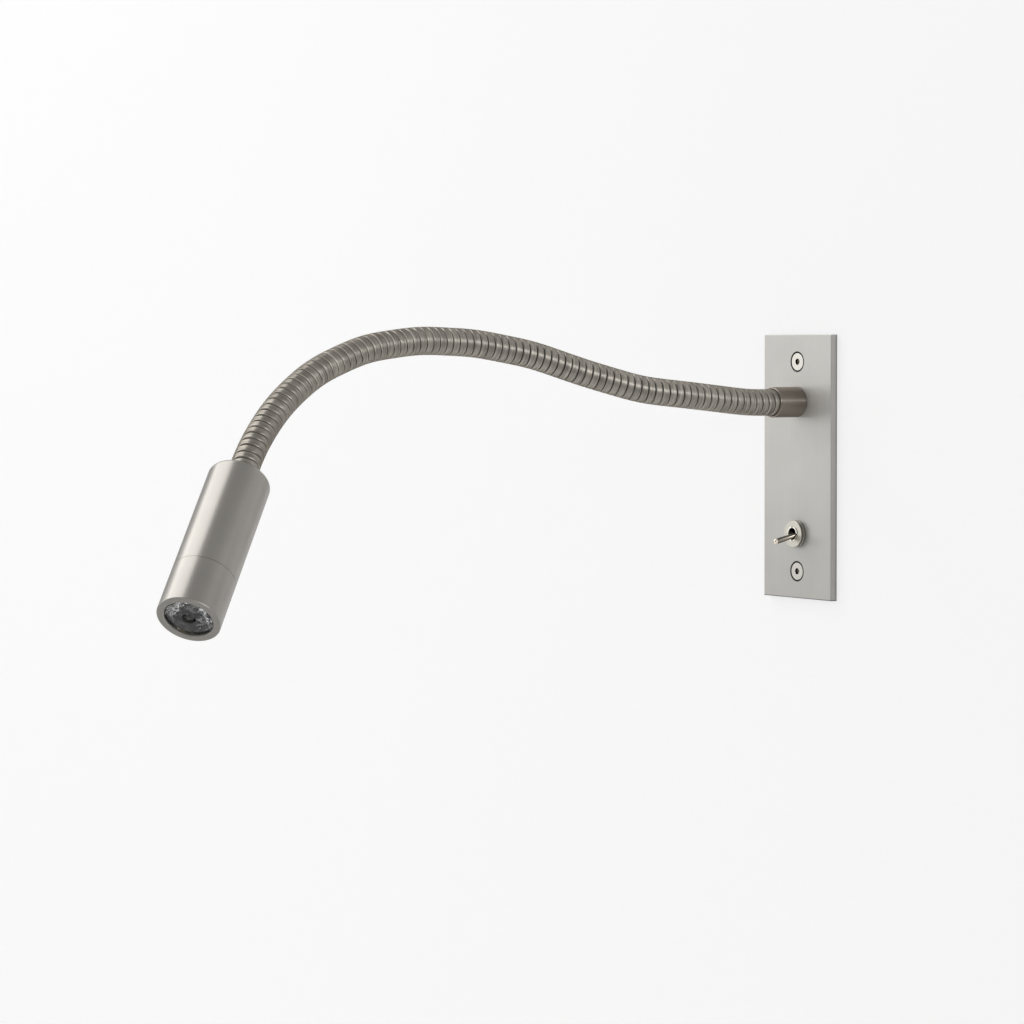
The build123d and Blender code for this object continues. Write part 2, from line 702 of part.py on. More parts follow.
def board_screw(side):
    """Small pan-head screw, through the board into the plug."""
    tip = BOARD_FRONT - BOARD_SCREW_LENGTH
    top = BOARD_FRONT + BOARD_SCREW_HEAD
    screw = rod(BOARD_SCREW_D / 2, tip, BOARD_FRONT)
    screw += rod(BOARD_SCREW_HEAD_D / 2, BOARD_FRONT, top)
    slot = block(BOARD_SCREW_HEAD_D, BOARD_SCREW_SLOT, top - BOARD_SCREW_HEAD / 2, top + CUT_PAST)
    return Pos(0, side * BOARD_SCREW_CIRCLE_R, 0) * (screw - slot)


def led_emitter():
    """Square emitter with its clear dome."""
    top = BOARD_FRONT + EMITTER_THICK
    above_top = rod(EMITTER_DOME_R + CUT_PAST, top, top + EMITTER_DOME_R)
    dome = Pos(0, 0, top) * Sphere(EMITTER_DOME_R) & above_top
    return block(EMITTER_SIDE, EMITTER_SIDE, BOARD_FRONT, top) + dome


def led_lead(side):
    """Insulated lead from the cable's end, out to its hole and up through the board."""
    start = STUD_FRONT + CABLE_PAST_STUD + FIT_GAP
    room = SINK_BACK - start
    points = [
        (side * LEAD_START_R, 0, start),
        (side * LEAD_START_R, 0, start + room / 3),
        (side * LEAD_CIRCLE_R, 0, SINK_BACK - room / 4),
        (side * LEAD_CIRCLE_R, 0, BOARD_FRONT + LEAD_PROUD),
    ]
    return cord(points, LEAD_D)


def lens():
    """Clear collimating lens: a slight dome, a flange and a cone with a pocket for the emitter."""
    front = HEAD_LENGTH - LENS_FRONT_SET_BACK
    edge = front - LENS_DOME
    cone_r = FLANGE_R - HOLDER_WALL - HOLDER_GAP
    dome_r = (BOSS_R**2 + LENS_DOME**2) / (2 * LENS_DOME)
    middle = BOSS_R / 2
    middle_height = front - dome_r + math.sqrt(dome_r**2 - middle**2)
    dome = ThreePointArc((BOSS_R, edge), (middle, middle_height), (0, front))
    sides = Polyline(
        (0, front),
        (0, LENS_BACK + LENS_POCKET_DEPTH),
        (LENS_POCKET_R, LENS_BACK + LENS_POCKET_DEPTH),
        (LENS_POCKET_R, LENS_BACK),
        (LENS_NECK_R, LENS_BACK),
        (cone_r, FLANGE_BACK),
        (FLANGE_R, FLANGE_BACK),
        (FLANGE_R, FLANGE_FRONT),
        (BOSS_R, FLANGE_FRONT),
        (BOSS_R, edge),
    )
    face = make_face(Plane.XZ * Curve([dome, sides]))
    return revolve(face, Axis.Z)


def lens_holder():
    """Black cone that centres the lens over the emitter and presses its flange forward."""
    inner_low = LENS_NECK_R + HOLDER_GAP
    inner_high = FLANGE_R - HOLDER_WALL
    outer_low = inner_low + HOLDER_WALL
    foot = BOARD_FRONT + HOLDER_FOOT_GAP
    return turned(
        [
            (inner_low, foot),
            (outer_low, foot),
            (outer_low, LENS_BACK),
            (FLANGE_R, FLANGE_BACK),
            (inner_high, FLANGE_BACK),
            (inner_low, LENS_BACK),
        ]
    )


def lens_gasket():
    """Rubber ring between the lens flange and the barrel's lip."""
    wire_r = GASKET_WIRE_D / 2
    ring_r = (BOSS_R + BARREL_BORE_D / 2) / 2
    return Pos(0, 0, FLANGE_FRONT + GASKET_GAP + wire_r) * Torus(ring_r, wire_r)


# ---------------------------------------------------------------- build every piece
def make_wall_unit():
    """Plate, screws and what clamps the neck to the plate."""
    plate = wall_frame()
    neck = wall_frame(COLLAR_HEIGHT_ON_PLATE)
    save("wall_plate", plate, wall_plate())
    save("fixing_screws", plate, *[Pos(0, side * SCREW_SPACING / 2, 0) * fixing_screw() for side in (-1, 1)])
    save("neck_collar", neck, neck_collar())
    save("neck_nipple", neck, neck_nipple())
    save("neck_washer", neck, neck_washer())
    save("neck_nut", neck, neck_nut())


def make_switch():
    """Toggle switch, its lever down and its rocker tilted away from the contact."""
    frame = wall_frame(-SWITCH_BELOW_CENTRE)
    save("switch_bushing", frame, switch_bushing())
    save("switch_face_washer", frame, switch_face_washer())
    save("switch_dress_nut", frame, switch_dress_nut())
    save("switch_lock_ring", frame, switch_lock_ring())
    save("switch_back_nut", frame, switch_back_nut())
    save("switch_frame", frame, switch_frame())
    save("switch_case", frame, switch_case())
    save("switch_terminals", frame, pivot_terminal(), contact_terminal())
    lever_place = Pos(0, 0, PIVOT_OUT) * Rot(THROW_DEG / 2, 0, 0)
    save("switch_lever", frame, lever_place * switch_lever())
    save("switch_plunger", frame, lever_place * switch_plunger())
    save("switch_spring", frame, lever_place * switch_spring())
    rocker_place = Pos(0, 0, ROCKER_AXIS) * Rot(-ROCKER_TILT_DEG, 0, 0) * Pos(0, 0, -ROCKER_AXIS)
    save("switch_rocker", frame, rocker_place * switch_rocker())
    lever_pivot = frame.from_local_coords((0, 0, PIVOT_OUT))
    rocker_pivot = frame.from_local_coords((0, 0, ROCKER_AXIS))
    report_hinge("toggle_throw", lever_pivot, (-1, 0, 0), 0, THROW_DEG)
    report_hinge("rocker_tilt", rocker_pivot, (1, 0, 0), 0, 2 * ROCKER_TILT_DEG)


def make_neck(frames):
    """Ribbed links from the collar to the head. All the middle links are alike."""
    middle = neck_link(False, False)
    for number, frame in enumerate(frames, start=1):
        if number == 1:
            link = neck_link(True, False)
        elif number == LINK_COUNT:
            link = neck_link(False, True)
        else:
            link = middle
        save(f"neck_link_{number:02d}", frame, link)
    report_neck_hinges(frames)


def make_wiring(frames, head):
    """Cable through the neck and the wire from its wall end to the switch."""
    start = Vector(0, NIPPLE_BACK + CABLE_BEHIND_NIPPLE, COLLAR_HEIGHT_ON_PLATE)
    hinges = [frame.origin for frame in frames[1:]]
    end = head.from_local_coords((0, 0, STUD_FRONT + CABLE_PAST_STUD))
    save("neck_cable", Plane.XY, cord([start, *hinges, end], CABLE_D))
    lug = Vector(0, -TERMINAL_BACK + FIT_GAP, -SWITCH_BELOW_CENTRE)
    first = Vector(0, start.Y + FIT_GAP, COLLAR_HEIGHT_ON_PLATE)
    back = lug.Y + JUMPER_BACK
    route = [
        first,
        Vector(0, back - JUMPER_END_RUN / 3, first.Z),
        Vector(JUMPER_SIDE, back + JUMPER_SIDE, first.Z - 2 * JUMPER_END_RUN),
        Vector(-JUMPER_SIDE, back, lug.Z + 2 * JUMPER_END_RUN),
        Vector(0, lug.Y + JUMPER_END_RUN, lug.Z),
        lug,
    ]
    save("switch_jumper", Plane.XY, cord(route, JUMPER_D))


def make_head(head):
    """Two-part aluminium head and the light engine inside it."""
    save("head_shell", head, head_shell())
    save("front_barrel", head, front_barrel())
    save("neck_stud", head, neck_stud())
    save("head_lock_washer", head, head_lock_washer())
    save("head_lock_nut", head, head_lock_nut())
    save("heat_sink", head, heat_sink())
    save("led_board", head, led_board())
    save("board_screws", head, board_screw(-1), board_screw(1))
    save("led_emitter", head, led_emitter())
    save("led_leads", head, led_lead(-1), led_lead(1))
    save("lens_holder", head, lens_holder())
    save("lens", head, lens())
    save("lens_gasket", head, lens_gasket())


os.makedirs("parts", exist_ok=True)
link_frames, head_frame = neck_frames()
make_wall_unit()
make_switch()
make_neck(link_frames)
make_wiring(link_frames, head_frame)
make_head(head_frame)
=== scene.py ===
"""Gooseneck wall sconce: satin nickel plate, wound flexible neck, small turned head with a clear lens."""
import json
import math

import bpy
import numpy as np
from mathutils import Matrix, Vector


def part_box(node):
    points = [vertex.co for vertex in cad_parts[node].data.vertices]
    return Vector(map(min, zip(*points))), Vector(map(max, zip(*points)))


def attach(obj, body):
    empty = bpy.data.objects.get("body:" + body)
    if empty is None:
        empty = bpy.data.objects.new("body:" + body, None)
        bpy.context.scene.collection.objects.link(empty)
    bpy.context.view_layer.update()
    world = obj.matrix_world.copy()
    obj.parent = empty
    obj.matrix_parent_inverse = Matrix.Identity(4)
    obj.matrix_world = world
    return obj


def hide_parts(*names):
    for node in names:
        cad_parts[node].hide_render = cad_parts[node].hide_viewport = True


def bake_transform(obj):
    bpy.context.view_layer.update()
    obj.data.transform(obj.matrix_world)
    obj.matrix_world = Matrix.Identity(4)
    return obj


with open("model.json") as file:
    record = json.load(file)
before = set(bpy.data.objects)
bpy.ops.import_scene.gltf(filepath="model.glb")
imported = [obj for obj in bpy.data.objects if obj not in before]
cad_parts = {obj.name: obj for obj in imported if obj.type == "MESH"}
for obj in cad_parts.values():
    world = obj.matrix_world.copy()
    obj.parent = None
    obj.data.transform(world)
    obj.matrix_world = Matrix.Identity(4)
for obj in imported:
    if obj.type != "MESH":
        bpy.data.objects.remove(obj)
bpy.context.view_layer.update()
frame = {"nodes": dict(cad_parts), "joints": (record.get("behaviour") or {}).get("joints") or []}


# --- Camera -------------------------------------------------------------------------------
# A long lens at the lamp's own height, well to the right of the plate and a little above it.
# The angles and the place were fitted to the plate's corners, the screws and the collar.

LENS_MM = 116.016
SENSOR_MM = 36.0
CAMERA_PLACE = Vector((1.05322, -0.89737, 0.05214))
CAMERA_TURN = math.radians(54.612)
CAMERA_DOWN = math.radians(2.942)
CAMERA_ROLL = math.radians(-0.165)

camera_data = bpy.data.cameras.new("camera")
camera_data.lens = LENS_MM
camera_data.sensor_width = SENSOR_MM
camera = bpy.data.objects.new("camera", camera_data)
camera.matrix_world = (
    Matrix.Translation(CAMERA_PLACE)
    @ Matrix.Rotation(CAMERA_TURN, 4, "Z")
    @ Matrix.Rotation(math.pi / 2 - CAMERA_DOWN, 4, "X")
    @ Matrix.Rotation(CAMERA_ROLL, 4, "Z")
)
bpy.context.scene.collection.objects.link(camera)
bpy.context.scene.camera = camera
bpy.context.scene.view_settings.view_transform = "Standard"


# --- Wall and floor -----------------------------------------------------------------------
# A matt white board that the lamp is screwed to, and a pale floor below it. Most of its white
# is its own, so that it stays even, and the rest is lit, so that it takes the soft shadows.

BOARD_PAINT_WHITE = (0.935, 0.935, 0.935, 1.0)
OWN_WHITE = (1.0, 1.0, 1.0, 1.0)
BOARD_LEFT = -1.1
BOARD_RIGHT = 0.14
BOARD_TOP = 0.285
FLOOR_LEVEL = -0.5
FLOOR_DEPTH = 2.5
FLOOR_LEFT = -1.8
FLOOR_RIGHT = 0.75
BEHIND_PLATE = 0.0002
OWN_WHITE_SHARE = 0.72
OWN_WHITE_IN_METAL = 0.30


def add(tree, kind, inputs=None, **settings):
    """One shader node, with its settings and with a value or a link for each named input."""
    made = tree.nodes.new(kind)
    for name, value in settings.items():
        setattr(made, name, value)
    for name, value in (inputs or {}).items():
        if isinstance(value, bpy.types.NodeSocket):
            tree.links.new(value, made.inputs[name])
        else:
            made.inputs[name].default_value = value
    return made


def calculate(tree, operation, *values):
    """A chain of one arithmetic operation over numbers or links."""
    total = values[0]
    for value in values[1:]:
        total = add(tree, "ShaderNodeMath", {0: total, 1: value}, operation=operation).outputs[0]
    return total


def empty_material(name):
    """A material with a bare node tree and its output."""
    material = bpy.data.materials.new(name)
    material.use_nodes = True
    tree = material.node_tree
    tree.nodes.clear()
    return material, tree, add(tree, "ShaderNodeOutputMaterial")


def board_white():
    """White paint: a share of even white of its own, and a lit share that takes the shadows.

    Metal mirrors less of that own white than the camera sees. From behind, the sheet is clear.
    """
    material, tree, output = empty_material("board_white_paint")
    path = add(tree, "ShaderNodeLightPath")
    seen = calculate(tree, "MAXIMUM", path.outputs["Is Camera Ray"], path.outputs["Is Transmission Ray"])
    seen = calculate(tree, "MULTIPLY", seen, OWN_WHITE_SHARE)
    shown = calculate(tree, "MULTIPLY", path.outputs["Is Glossy Ray"], OWN_WHITE_IN_METAL)
    share = calculate(tree, "MAXIMUM", seen, shown)
    lit = add(tree, "ShaderNodeBsdfDiffuse", {"Color": BOARD_PAINT_WHITE})
    own = add(tree, "ShaderNodeEmission", {"Color": OWN_WHITE})
    paint = add(tree, "ShaderNodeMixShader", {0: share, 1: lit.outputs[0], 2: own.outputs[0]})
    clear = add(tree, "ShaderNodeBsdfTransparent")
    side = add(tree, "ShaderNodeNewGeometry")
    both = add(tree, "ShaderNodeMixShader",
               {0: side.outputs["Backfacing"], 1: paint.outputs[0], 2: clear.outputs[0]})
    tree.links.new(both.outputs[0], output.inputs["Surface"])
    return material


def stage_sheet(name, corners, material):
    """A flat four-cornered sheet of the set, facing the side its corners run round."""
    mesh = bpy.data.meshes.new(name)
    mesh.from_pydata(corners, [], [(0, 1, 2, 3)])
    mesh.materials.append(material)
    sheet = bpy.data.objects.new(name, mesh)
    bpy.context.scene.collection.objects.link(sheet)


white_paint = board_white()
stage_sheet("wall_board", [
    (BOARD_LEFT, BEHIND_PLATE, FLOOR_LEVEL), (BOARD_RIGHT, BEHIND_PLATE, FLOOR_LEVEL),
    (BOARD_RIGHT, BEHIND_PLATE, BOARD_TOP), (BOARD_LEFT, BEHIND_PLATE, BOARD_TOP)], white_paint)
stage_sheet("floor_sheet", [
    (FLOOR_LEFT, -FLOOR_DEPTH, FLOOR_LEVEL), (FLOOR_RIGHT, -FLOOR_DEPTH, FLOOR_LEVEL),
    (FLOOR_RIGHT, BEHIND_PLATE, FLOOR_LEVEL), (FLOOR_LEFT, BEHIND_PLATE, FLOOR_LEVEL)], white_paint)


# --- Studio light -------------------------------------------------------------------------
# One large soft box high on the left, a low one beside it for the plate's face, a narrow one
# on the right that draws the line along the neck, and an even grey room around them.

ROOM_GREY = 0.42
LIT_CENTRE = Vector((0.02, -0.16, 0.0))


def soft_box(name, turn, rise, distance, width, height, radiance):
    """A rectangular soft box that faces the lit centre, at a bearing from straight out of the wall.

    Turn and rise are in degrees. Its power is four times its area times its face's brightness.
    """
    around = math.radians(turn)
    up = math.radians(rise)
    toward = Vector((math.sin(around) * math.cos(up), -math.cos(around) * math.cos(up), math.sin(up)))
    data = bpy.data.lights.new(name, "AREA")
    data.shape = "RECTANGLE"
    data.size = width
    data.size_y = height
    data.energy = radiance * 4 * width * height
    box = bpy.data.objects.new(name, data)
    facing = toward.to_track_quat("Z", "Y").to_matrix().to_4x4()
    box.matrix_world = Matrix.Translation(LIT_CENTRE + toward * distance) @ facing
    bpy.context.scene.collection.objects.link(box)


soft_box("key_box", turn=-57, rise=52, distance=1.3, width=1.05, height=1.05, radiance=1.45)
soft_box("plate_box", turn=-51, rise=15, distance=1.4, width=1.15, height=1.0, radiance=1.02)
soft_box("line_box", turn=94, rise=13, distance=1.2, width=0.9, height=0.25, radiance=4.1)

world = bpy.data.worlds.new("room")
world.use_nodes = True
world.node_tree.nodes["Background"].inputs["Color"].default_value = (ROOM_GREY, ROOM_GREY, ROOM_GREY, 1.0)
bpy.context.scene.world = world


# --- Wall plate ---------------------------------------------------------------------------
# A flat 3.2 mm steel bar, cut to length, chamfered finely and brushed from top to bottom, then
# nickel plated. Two flush screws hold it to the wall.

PLATE_NICKEL = (0.575, 0.562, 0.532)
PLATE_HALF_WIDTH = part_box("wall_plate")[1].x
SCREW_HEIGHT = 0.04375
COUNTERSINK_RADIUS = 0.00432
# The tones below paint shade in the countersinks, on the side edges, along the back by the wall and on the
# lower edge.
COUNTERSINK_SHADE_TONE = 0.05
EDGE_BAND = 0.00012
EDGE_TONE = 0.82
BACK_BAND = 0.0006
BACK_SHADOW_TONE = 0.55
BACK_BLUR = 0.0004
LOWER_EDGE = 0.0546
LOWER_EDGE_SHADE_TONE = 0.35
LOWER_EDGE_BLUR = 0.0001
# Painted shade: the plate turns a little darker toward its lower end.
PAINTED_SHADE_LOW = -0.030
PAINTED_SHADE_LOW_TONE = 0.90
PAINTED_SHADE_LOW_BLUR = 0.030
PLATE_LINES = (1700, 1700, 22)
FINE_DETAIL = 3.0
FINE_HARSHNESS = 0.65
FINE_SHADE_SPAN = (0.25, 0.75)
ROUGH_SPAN = (0.2, 0.8)
ROUGH_SWING = 0.15
CLOUD_SCALE = 55.0
CLOUD_DETAIL = 2.0
CLOUD_SPAN = (0.3, 0.7)
BUMP_SHARE = 0.5
MILLIMETRE = 0.001
HAIR = 0.00002


def remap(tree, value, low, high, to_low, to_high):
    """A value carried from one span to another, and held at the ends."""
    return add(tree, "ShaderNodeMapRange", {
        "Value": value, "From Min": low, "From Max": high, "To Min": to_low, "To Max": to_high}).outputs[0]


def noise(tree, place, scale, detail, **more):
    """Soft noise about one half, finer with a larger scale."""
    made = add(tree, "ShaderNodeTexNoise", {"Vector": place, "Scale": scale, "Detail": detail, **more})
    return made.outputs[0]


def shaded(tree, colour, factor):
    """A colour times a factor."""
    return add(tree, "ShaderNodeVectorMath", {0: colour, "Scale": factor}, operation="SCALE").outputs[0]


def brushed_nickel(name, colour, roughness, coordinates, scale, grain=0.10, depth=0.010, warmth=0.03,
                   spread=None, spread_share=0.8, edge=1.0, shine=1.0, tone=None):
    """Metal with a fine grain, from noise that is stretched along the brush or turning lines.

    coordinates makes the pattern's vector from a tree; scale stretches it, in lines per metre.
    grain and warmth are the swings of the fine lines and of the cloud in the colour, and depth is
    the lines' in millimetres. spread is the direction square to the lines, in which they scatter
    the light, and spread_share how much. edge dims what is seen at a slant. shine is the share of
    bare metal under a matt lacquer. tone makes a factor on the colour from a tree, for painted shade
    down in holes and on edges and rims, and for painted highlights.
    """
    material, tree, output = empty_material(name)
    place = coordinates(tree)
    across = add(tree, "ShaderNodeVectorMath", {0: place, 1: scale}, operation="MULTIPLY").outputs[0]
    fine = noise(tree, across, 1.0, FINE_DETAIL, Roughness=FINE_HARSHNESS)
    cloud = noise(tree, place, CLOUD_SCALE, CLOUD_DETAIL)
    shade = remap(tree, fine, *FINE_SHADE_SPAN, 1.0 - grain, 1.0 + grain)
    warm = remap(tree, cloud, *CLOUD_SPAN, 1.0 - warmth, 1.0 + warmth)
    factor = calculate(tree, "MULTIPLY", shade, warm, *([tone(tree)] if tone else []))
    rough = remap(tree, fine, *ROUGH_SPAN, roughness * (1 - ROUGH_SWING), roughness * (1 + ROUGH_SWING))
    bump = add(tree, "ShaderNodeBump", {"Height": fine, "Strength": BUMP_SHARE,
                                        "Distance": depth * MILLIMETRE})
    metal = add(tree, "ShaderNodeBsdfPrincipled", {
        "Base Color": shaded(tree, colour, factor), "Metallic": shine, "Roughness": rough,
        "Normal": bump.outputs[0], "Specular Tint": (edge, edge, edge, 1.0)})
    if spread:
        turned = add(tree, "ShaderNodeVectorTransform", {0: spread}, vector_type="VECTOR",
                     convert_from="OBJECT", convert_to="WORLD")
        metal.inputs["Anisotropic"].default_value = spread_share
        tree.links.new(turned.outputs[0], metal.inputs["Tangent"])
    tree.links.new(metal.outputs[0], output.inputs["Surface"])
    return material


def straight_grain(tree):
    """The object's own coordinates, in metres."""
    return add(tree, "ShaderNodeTexCoord").outputs["Object"]


def step(tree, value, edge, below, above, blur=HAIR):
    """One factor below an edge and another above it, blurred that far to either side."""
    return remap(tree, value, edge - blur, edge + blur, below, above)


def unsigned(tree, value):
    """A number without its sign."""
    return add(tree, "ShaderNodeMath", {0: value}, operation="ABSOLUTE").outputs[0]


def from_screws(tree):
    """Distance from the nearer screw's axis, and depth into the wall, both in metres."""
    place = add(tree, "ShaderNodeSeparateXYZ", {0: straight_grain(tree)})
    above = calculate(tree, "SUBTRACT", unsigned(tree, place.outputs[2]), SCREW_HEIGHT)
    squares = calculate(tree, "ADD", calculate(tree, "MULTIPLY", above, above),
                        calculate(tree, "MULTIPLY", place.outputs[0], place.outputs[0]))
    return calculate(tree, "POWER", squares, 0.5), place.outputs[1]


def plate_tone(tree):
    """Painted shade: dark in the countersinks and a little darker on the sawn side edges.

    Painted shade too on the lower edge and along the back next to the wall, and a little toward the lower
    end.
    """
    distance, depth = from_screws(tree)
    place = add(tree, "ShaderNodeSeparateXYZ", {0: straight_grain(tree)})
    width = unsigned(tree, place.outputs[0])
    height = place.outputs[2]
    # Painted shade in the countersinks and on a thin rim round them.
    hole = step(tree, distance, COUNTERSINK_RADIUS, COUNTERSINK_SHADE_TONE, 1.0)
    # Painted shade on the side edges.
    edge = step(tree, width, PLATE_HALF_WIDTH - EDGE_BAND, 1.0, EDGE_TONE)
    # Painted shade on the lower edge.
    lower = step(tree, height, -LOWER_EDGE, LOWER_EDGE_SHADE_TONE, 1.0, blur=LOWER_EDGE_BLUR)
    # Painted shade, a little darker toward the lower end.
    low_end_shade = step(tree, height, PAINTED_SHADE_LOW, PAINTED_SHADE_LOW_TONE, 1.0, blur=PAINTED_SHADE_LOW_BLUR)
    # Painted shadow along the back, next to the wall.
    back = step(tree, depth, -BACK_BAND, 1.0, BACK_SHADOW_TONE, blur=BACK_BLUR)
    return calculate(tree, "MULTIPLY", hole, edge, lower, low_end_shade, back)


def finish(material, *nodes):
    """Give CAD nodes one material in all their slots."""
    for node in nodes:
        mesh = frame["nodes"][node].data
        for index in range(len(mesh.materials)):
            mesh.materials[index] = material


plate_nickel = brushed_nickel("plate_nickel", PLATE_NICKEL, roughness=0.45, coordinates=straight_grain,
                              scale=PLATE_LINES, grain=0.035, depth=0.004, shine=0.55, tone=plate_tone)
finish(plate_nickel, "wall_plate")


# --- Fixing screws ------------------------------------------------------------------------
# Two M4 countersunk machine screws with a hexagon key, turned steel with a bright, slightly
# yellow nickel plate. They sit a tenth of a millimetre under the plate's face.

SCREW_NICKEL = (0.61, 0.59, 0.54)
KEY_RADIUS = 0.00147
KEY_FLOOR = -0.00215
SCREW_FACE = -0.0031
SCREW_RIM_RADIUS = 0.00360
SCREW_FACE_SINK = 0.00008
# Painted shade in the hexagon socket and on the countersunk cone.
KEY_SHADE_TONE = 0.02
TURN_DRIFT = 0.004
TURNED_LINES = (7000, 7000, 7000)
FACED_LINES = (5000, 5000, 5000)
OUT_OF_WALL = (0, -1, 0)
LEVEL = (1, 0, 0)


def turned_about(origin, axis, level=LEVEL):
    """Coordinates for turned work: distance from the axis, a slow drift sideways, place along it."""
    along = Vector(axis).normalized()
    side = (Vector(level) - along * Vector(level).dot(along)).normalized()
    turn = Matrix((side, along.cross(side), along))

    def coordinates(tree):
        place = add(tree, "ShaderNodeTexCoord").outputs["Object"]
        moved = add(tree, "ShaderNodeVectorMath", {0: place, 1: Vector(origin)}, operation="SUBTRACT")
        parts = [add(tree, "ShaderNodeVectorMath", {0: moved.outputs[0], 1: row}, operation="DOT_PRODUCT")
                 for row in turn]
        x, y, z = (part.outputs["Value"] for part in parts)
        squares = [calculate(tree, "MULTIPLY", value, value) for value in (x, y)]
        radius = add(tree, "ShaderNodeMath", {0: calculate(tree, "ADD", *squares)}, operation="SQRT")
        drift = calculate(tree, "MULTIPLY", x, TURN_DRIFT)
        return add(tree, "ShaderNodeCombineXYZ", {0: radius.outputs[0], 1: drift, 2: z}).outputs[0]

    return coordinates


def screw_rings(tree):
    """Turned faces: the pattern runs out from the screw's own axis."""
    distance, depth = from_screws(tree)
    return add(tree, "ShaderNodeCombineXYZ", {0: distance, 2: depth}).outputs[0]


def screw_tone(tree):
    """Painted shade: black on the hexagon's walls and on the cone; bright on the face and the hexagon's
    floor.
    """
    distance, depth = from_screws(tree)
    sunk = step(tree, depth, SCREW_FACE + SCREW_FACE_SINK, 0.0, 1.0)
    walls = step(tree, depth, KEY_FLOOR, 1.0, 0.0)
    key = calculate(tree, "MULTIPLY", step(tree, distance, KEY_RADIUS, 1.0, 0.0), walls)
    cone = step(tree, distance, SCREW_RIM_RADIUS, 0.0, 1.0)
    # Painted shade in the socket's walls and on the cone.
    dark = calculate(tree, "MAXIMUM", calculate(tree, "MULTIPLY", sunk, key), cone)
    return remap(tree, dark, 0.0, 1.0, 1.0, KEY_SHADE_TONE)


screw_nickel = brushed_nickel("screw_nickel", SCREW_NICKEL, roughness=0.36, coordinates=screw_rings,
                              scale=FACED_LINES, grain=0.16, depth=0.02, tone=screw_tone)
finish(screw_nickel, "fixing_screws")


# --- Collar, nipple and nut ---------------------------------------------------------------
# The neck screws into a turned collar. A hollow brass nipple runs from it through the plate to
# a toothed washer and a zinc-plated nut behind.

COLLAR_NICKEL = (0.30, 0.265, 0.23)
BRASS = (0.62, 0.43, 0.17)
ZINC = (0.55, 0.57, 0.60)
COLLAR_AXIS = (0, 0, 0.027)
COLLAR_PROFILE = [(0.00505, 0.0032), (0.0059, 0.0032), (0.0063, 0.0036), (0.0063, 0.0167),
                  (0.00618, 0.01702), (0.0059, 0.0171), (0.00572, 0.0171), (0.00562, 0.0170),
                  (0.00562, 0.0161), (0.00535, 0.0161), (0.00535, 0.0082), (0.00505, 0.0082)]
COLLAR_COLUMNS = 144
CORNER_HOLD = 0.00004
CORNER_HOLD_LIMIT = 0.25
PROFILE_STEP = 0.0006
LEAST_RADIUS = 0.00001


def grid_object(name, points, attributes=None, closed_rows=False, mapped=False):
    """A mesh from a rows x columns grid of points that closes round its columns.

    Rows either close too, like a ring, or one face each fills the first and the last row.
    A mapped one has its rows along U and its columns round V.
    """
    rows, columns = points.shape[:2]
    index = np.arange(rows * columns).reshape(rows, columns)
    below = np.roll(index, -1, axis=0) if closed_rows else index[1:]
    here = index if closed_rows else index[:-1]
    faces = np.stack([here, np.roll(here, -1, axis=1), np.roll(below, -1, axis=1), below], axis=-1)
    faces = faces.reshape(-1, 4)
    mesh = bpy.data.meshes.new(name)
    caps = [] if closed_rows else [index[0][::-1].tolist(), index[-1].tolist()]
    mesh.from_pydata(points.reshape(-1, 3), [], faces.tolist() + caps)
    for key, values in (attributes or {}).items():
        kind = "FLOAT_VECTOR" if values.ndim == 3 else "FLOAT"
        layer = mesh.attributes.new(key, kind, "POINT")
        layer.data.foreach_set("vector" if kind == "FLOAT_VECTOR" else "value", values.ravel())
    if mapped:
        row, column = np.divmod(np.arange(here.size), columns)
        corner_rows = row[:, None] + np.array([0, 0, 1, 1])
        corner_columns = column[:, None] + np.array([0, 1, 1, 0])
        layer = mesh.uv_layers.new(name="map")
        layer.data.foreach_set("uv", np.stack([corner_rows / rows, corner_columns / columns], -1).ravel())
    mesh.shade_smooth()
    made = bpy.data.objects.new(name, mesh)
    bpy.context.scene.collection.objects.link(made)
    return made


def held_corners(profile, closed=False):
    """The profile's corners, each with a point close before and after it, and a few between."""
    stops = profile[1:] + ([profile[0]] if closed else [])
    points = []
    for start, stop in zip(profile, stops):
        start, stop = np.array(start), np.array(stop)
        length = float(np.linalg.norm(stop - start))
        hold = min(CORNER_HOLD / length, CORNER_HOLD_LIMIT)
        between = np.linspace(hold, 1 - hold, max(2, int(length / PROFILE_STEP)))
        points += [tuple(start)] + [tuple(start + (stop - start) * share) for share in between]
    return points if closed else points + [tuple(profile[-1])]


def turned_piece(name, profile, columns, origin, axis, level, closed=False):
    """A turned solid: each profile point (radius, place along the axis) makes one circle.

    A closed profile is a ring's; an open one starts and ends on the axis.
    """
    radius, out = np.array(profile).T
    angle = np.linspace(0, 2 * math.pi, columns, endpoint=False)
    axis = np.array(Vector(axis).normalized())
    level = np.array(level, float)
    round_about = np.cos(angle)[:, None] * level + np.sin(angle)[:, None] * np.cross(axis, level)
    centre = np.array(origin) + out[:, None] * axis
    radius = np.maximum(radius, LEAST_RADIUS)
    points = centre[:, None, :] + radius[:, None, None] * round_about[None, :, :]
    return grid_object(name, points, closed_rows=closed)


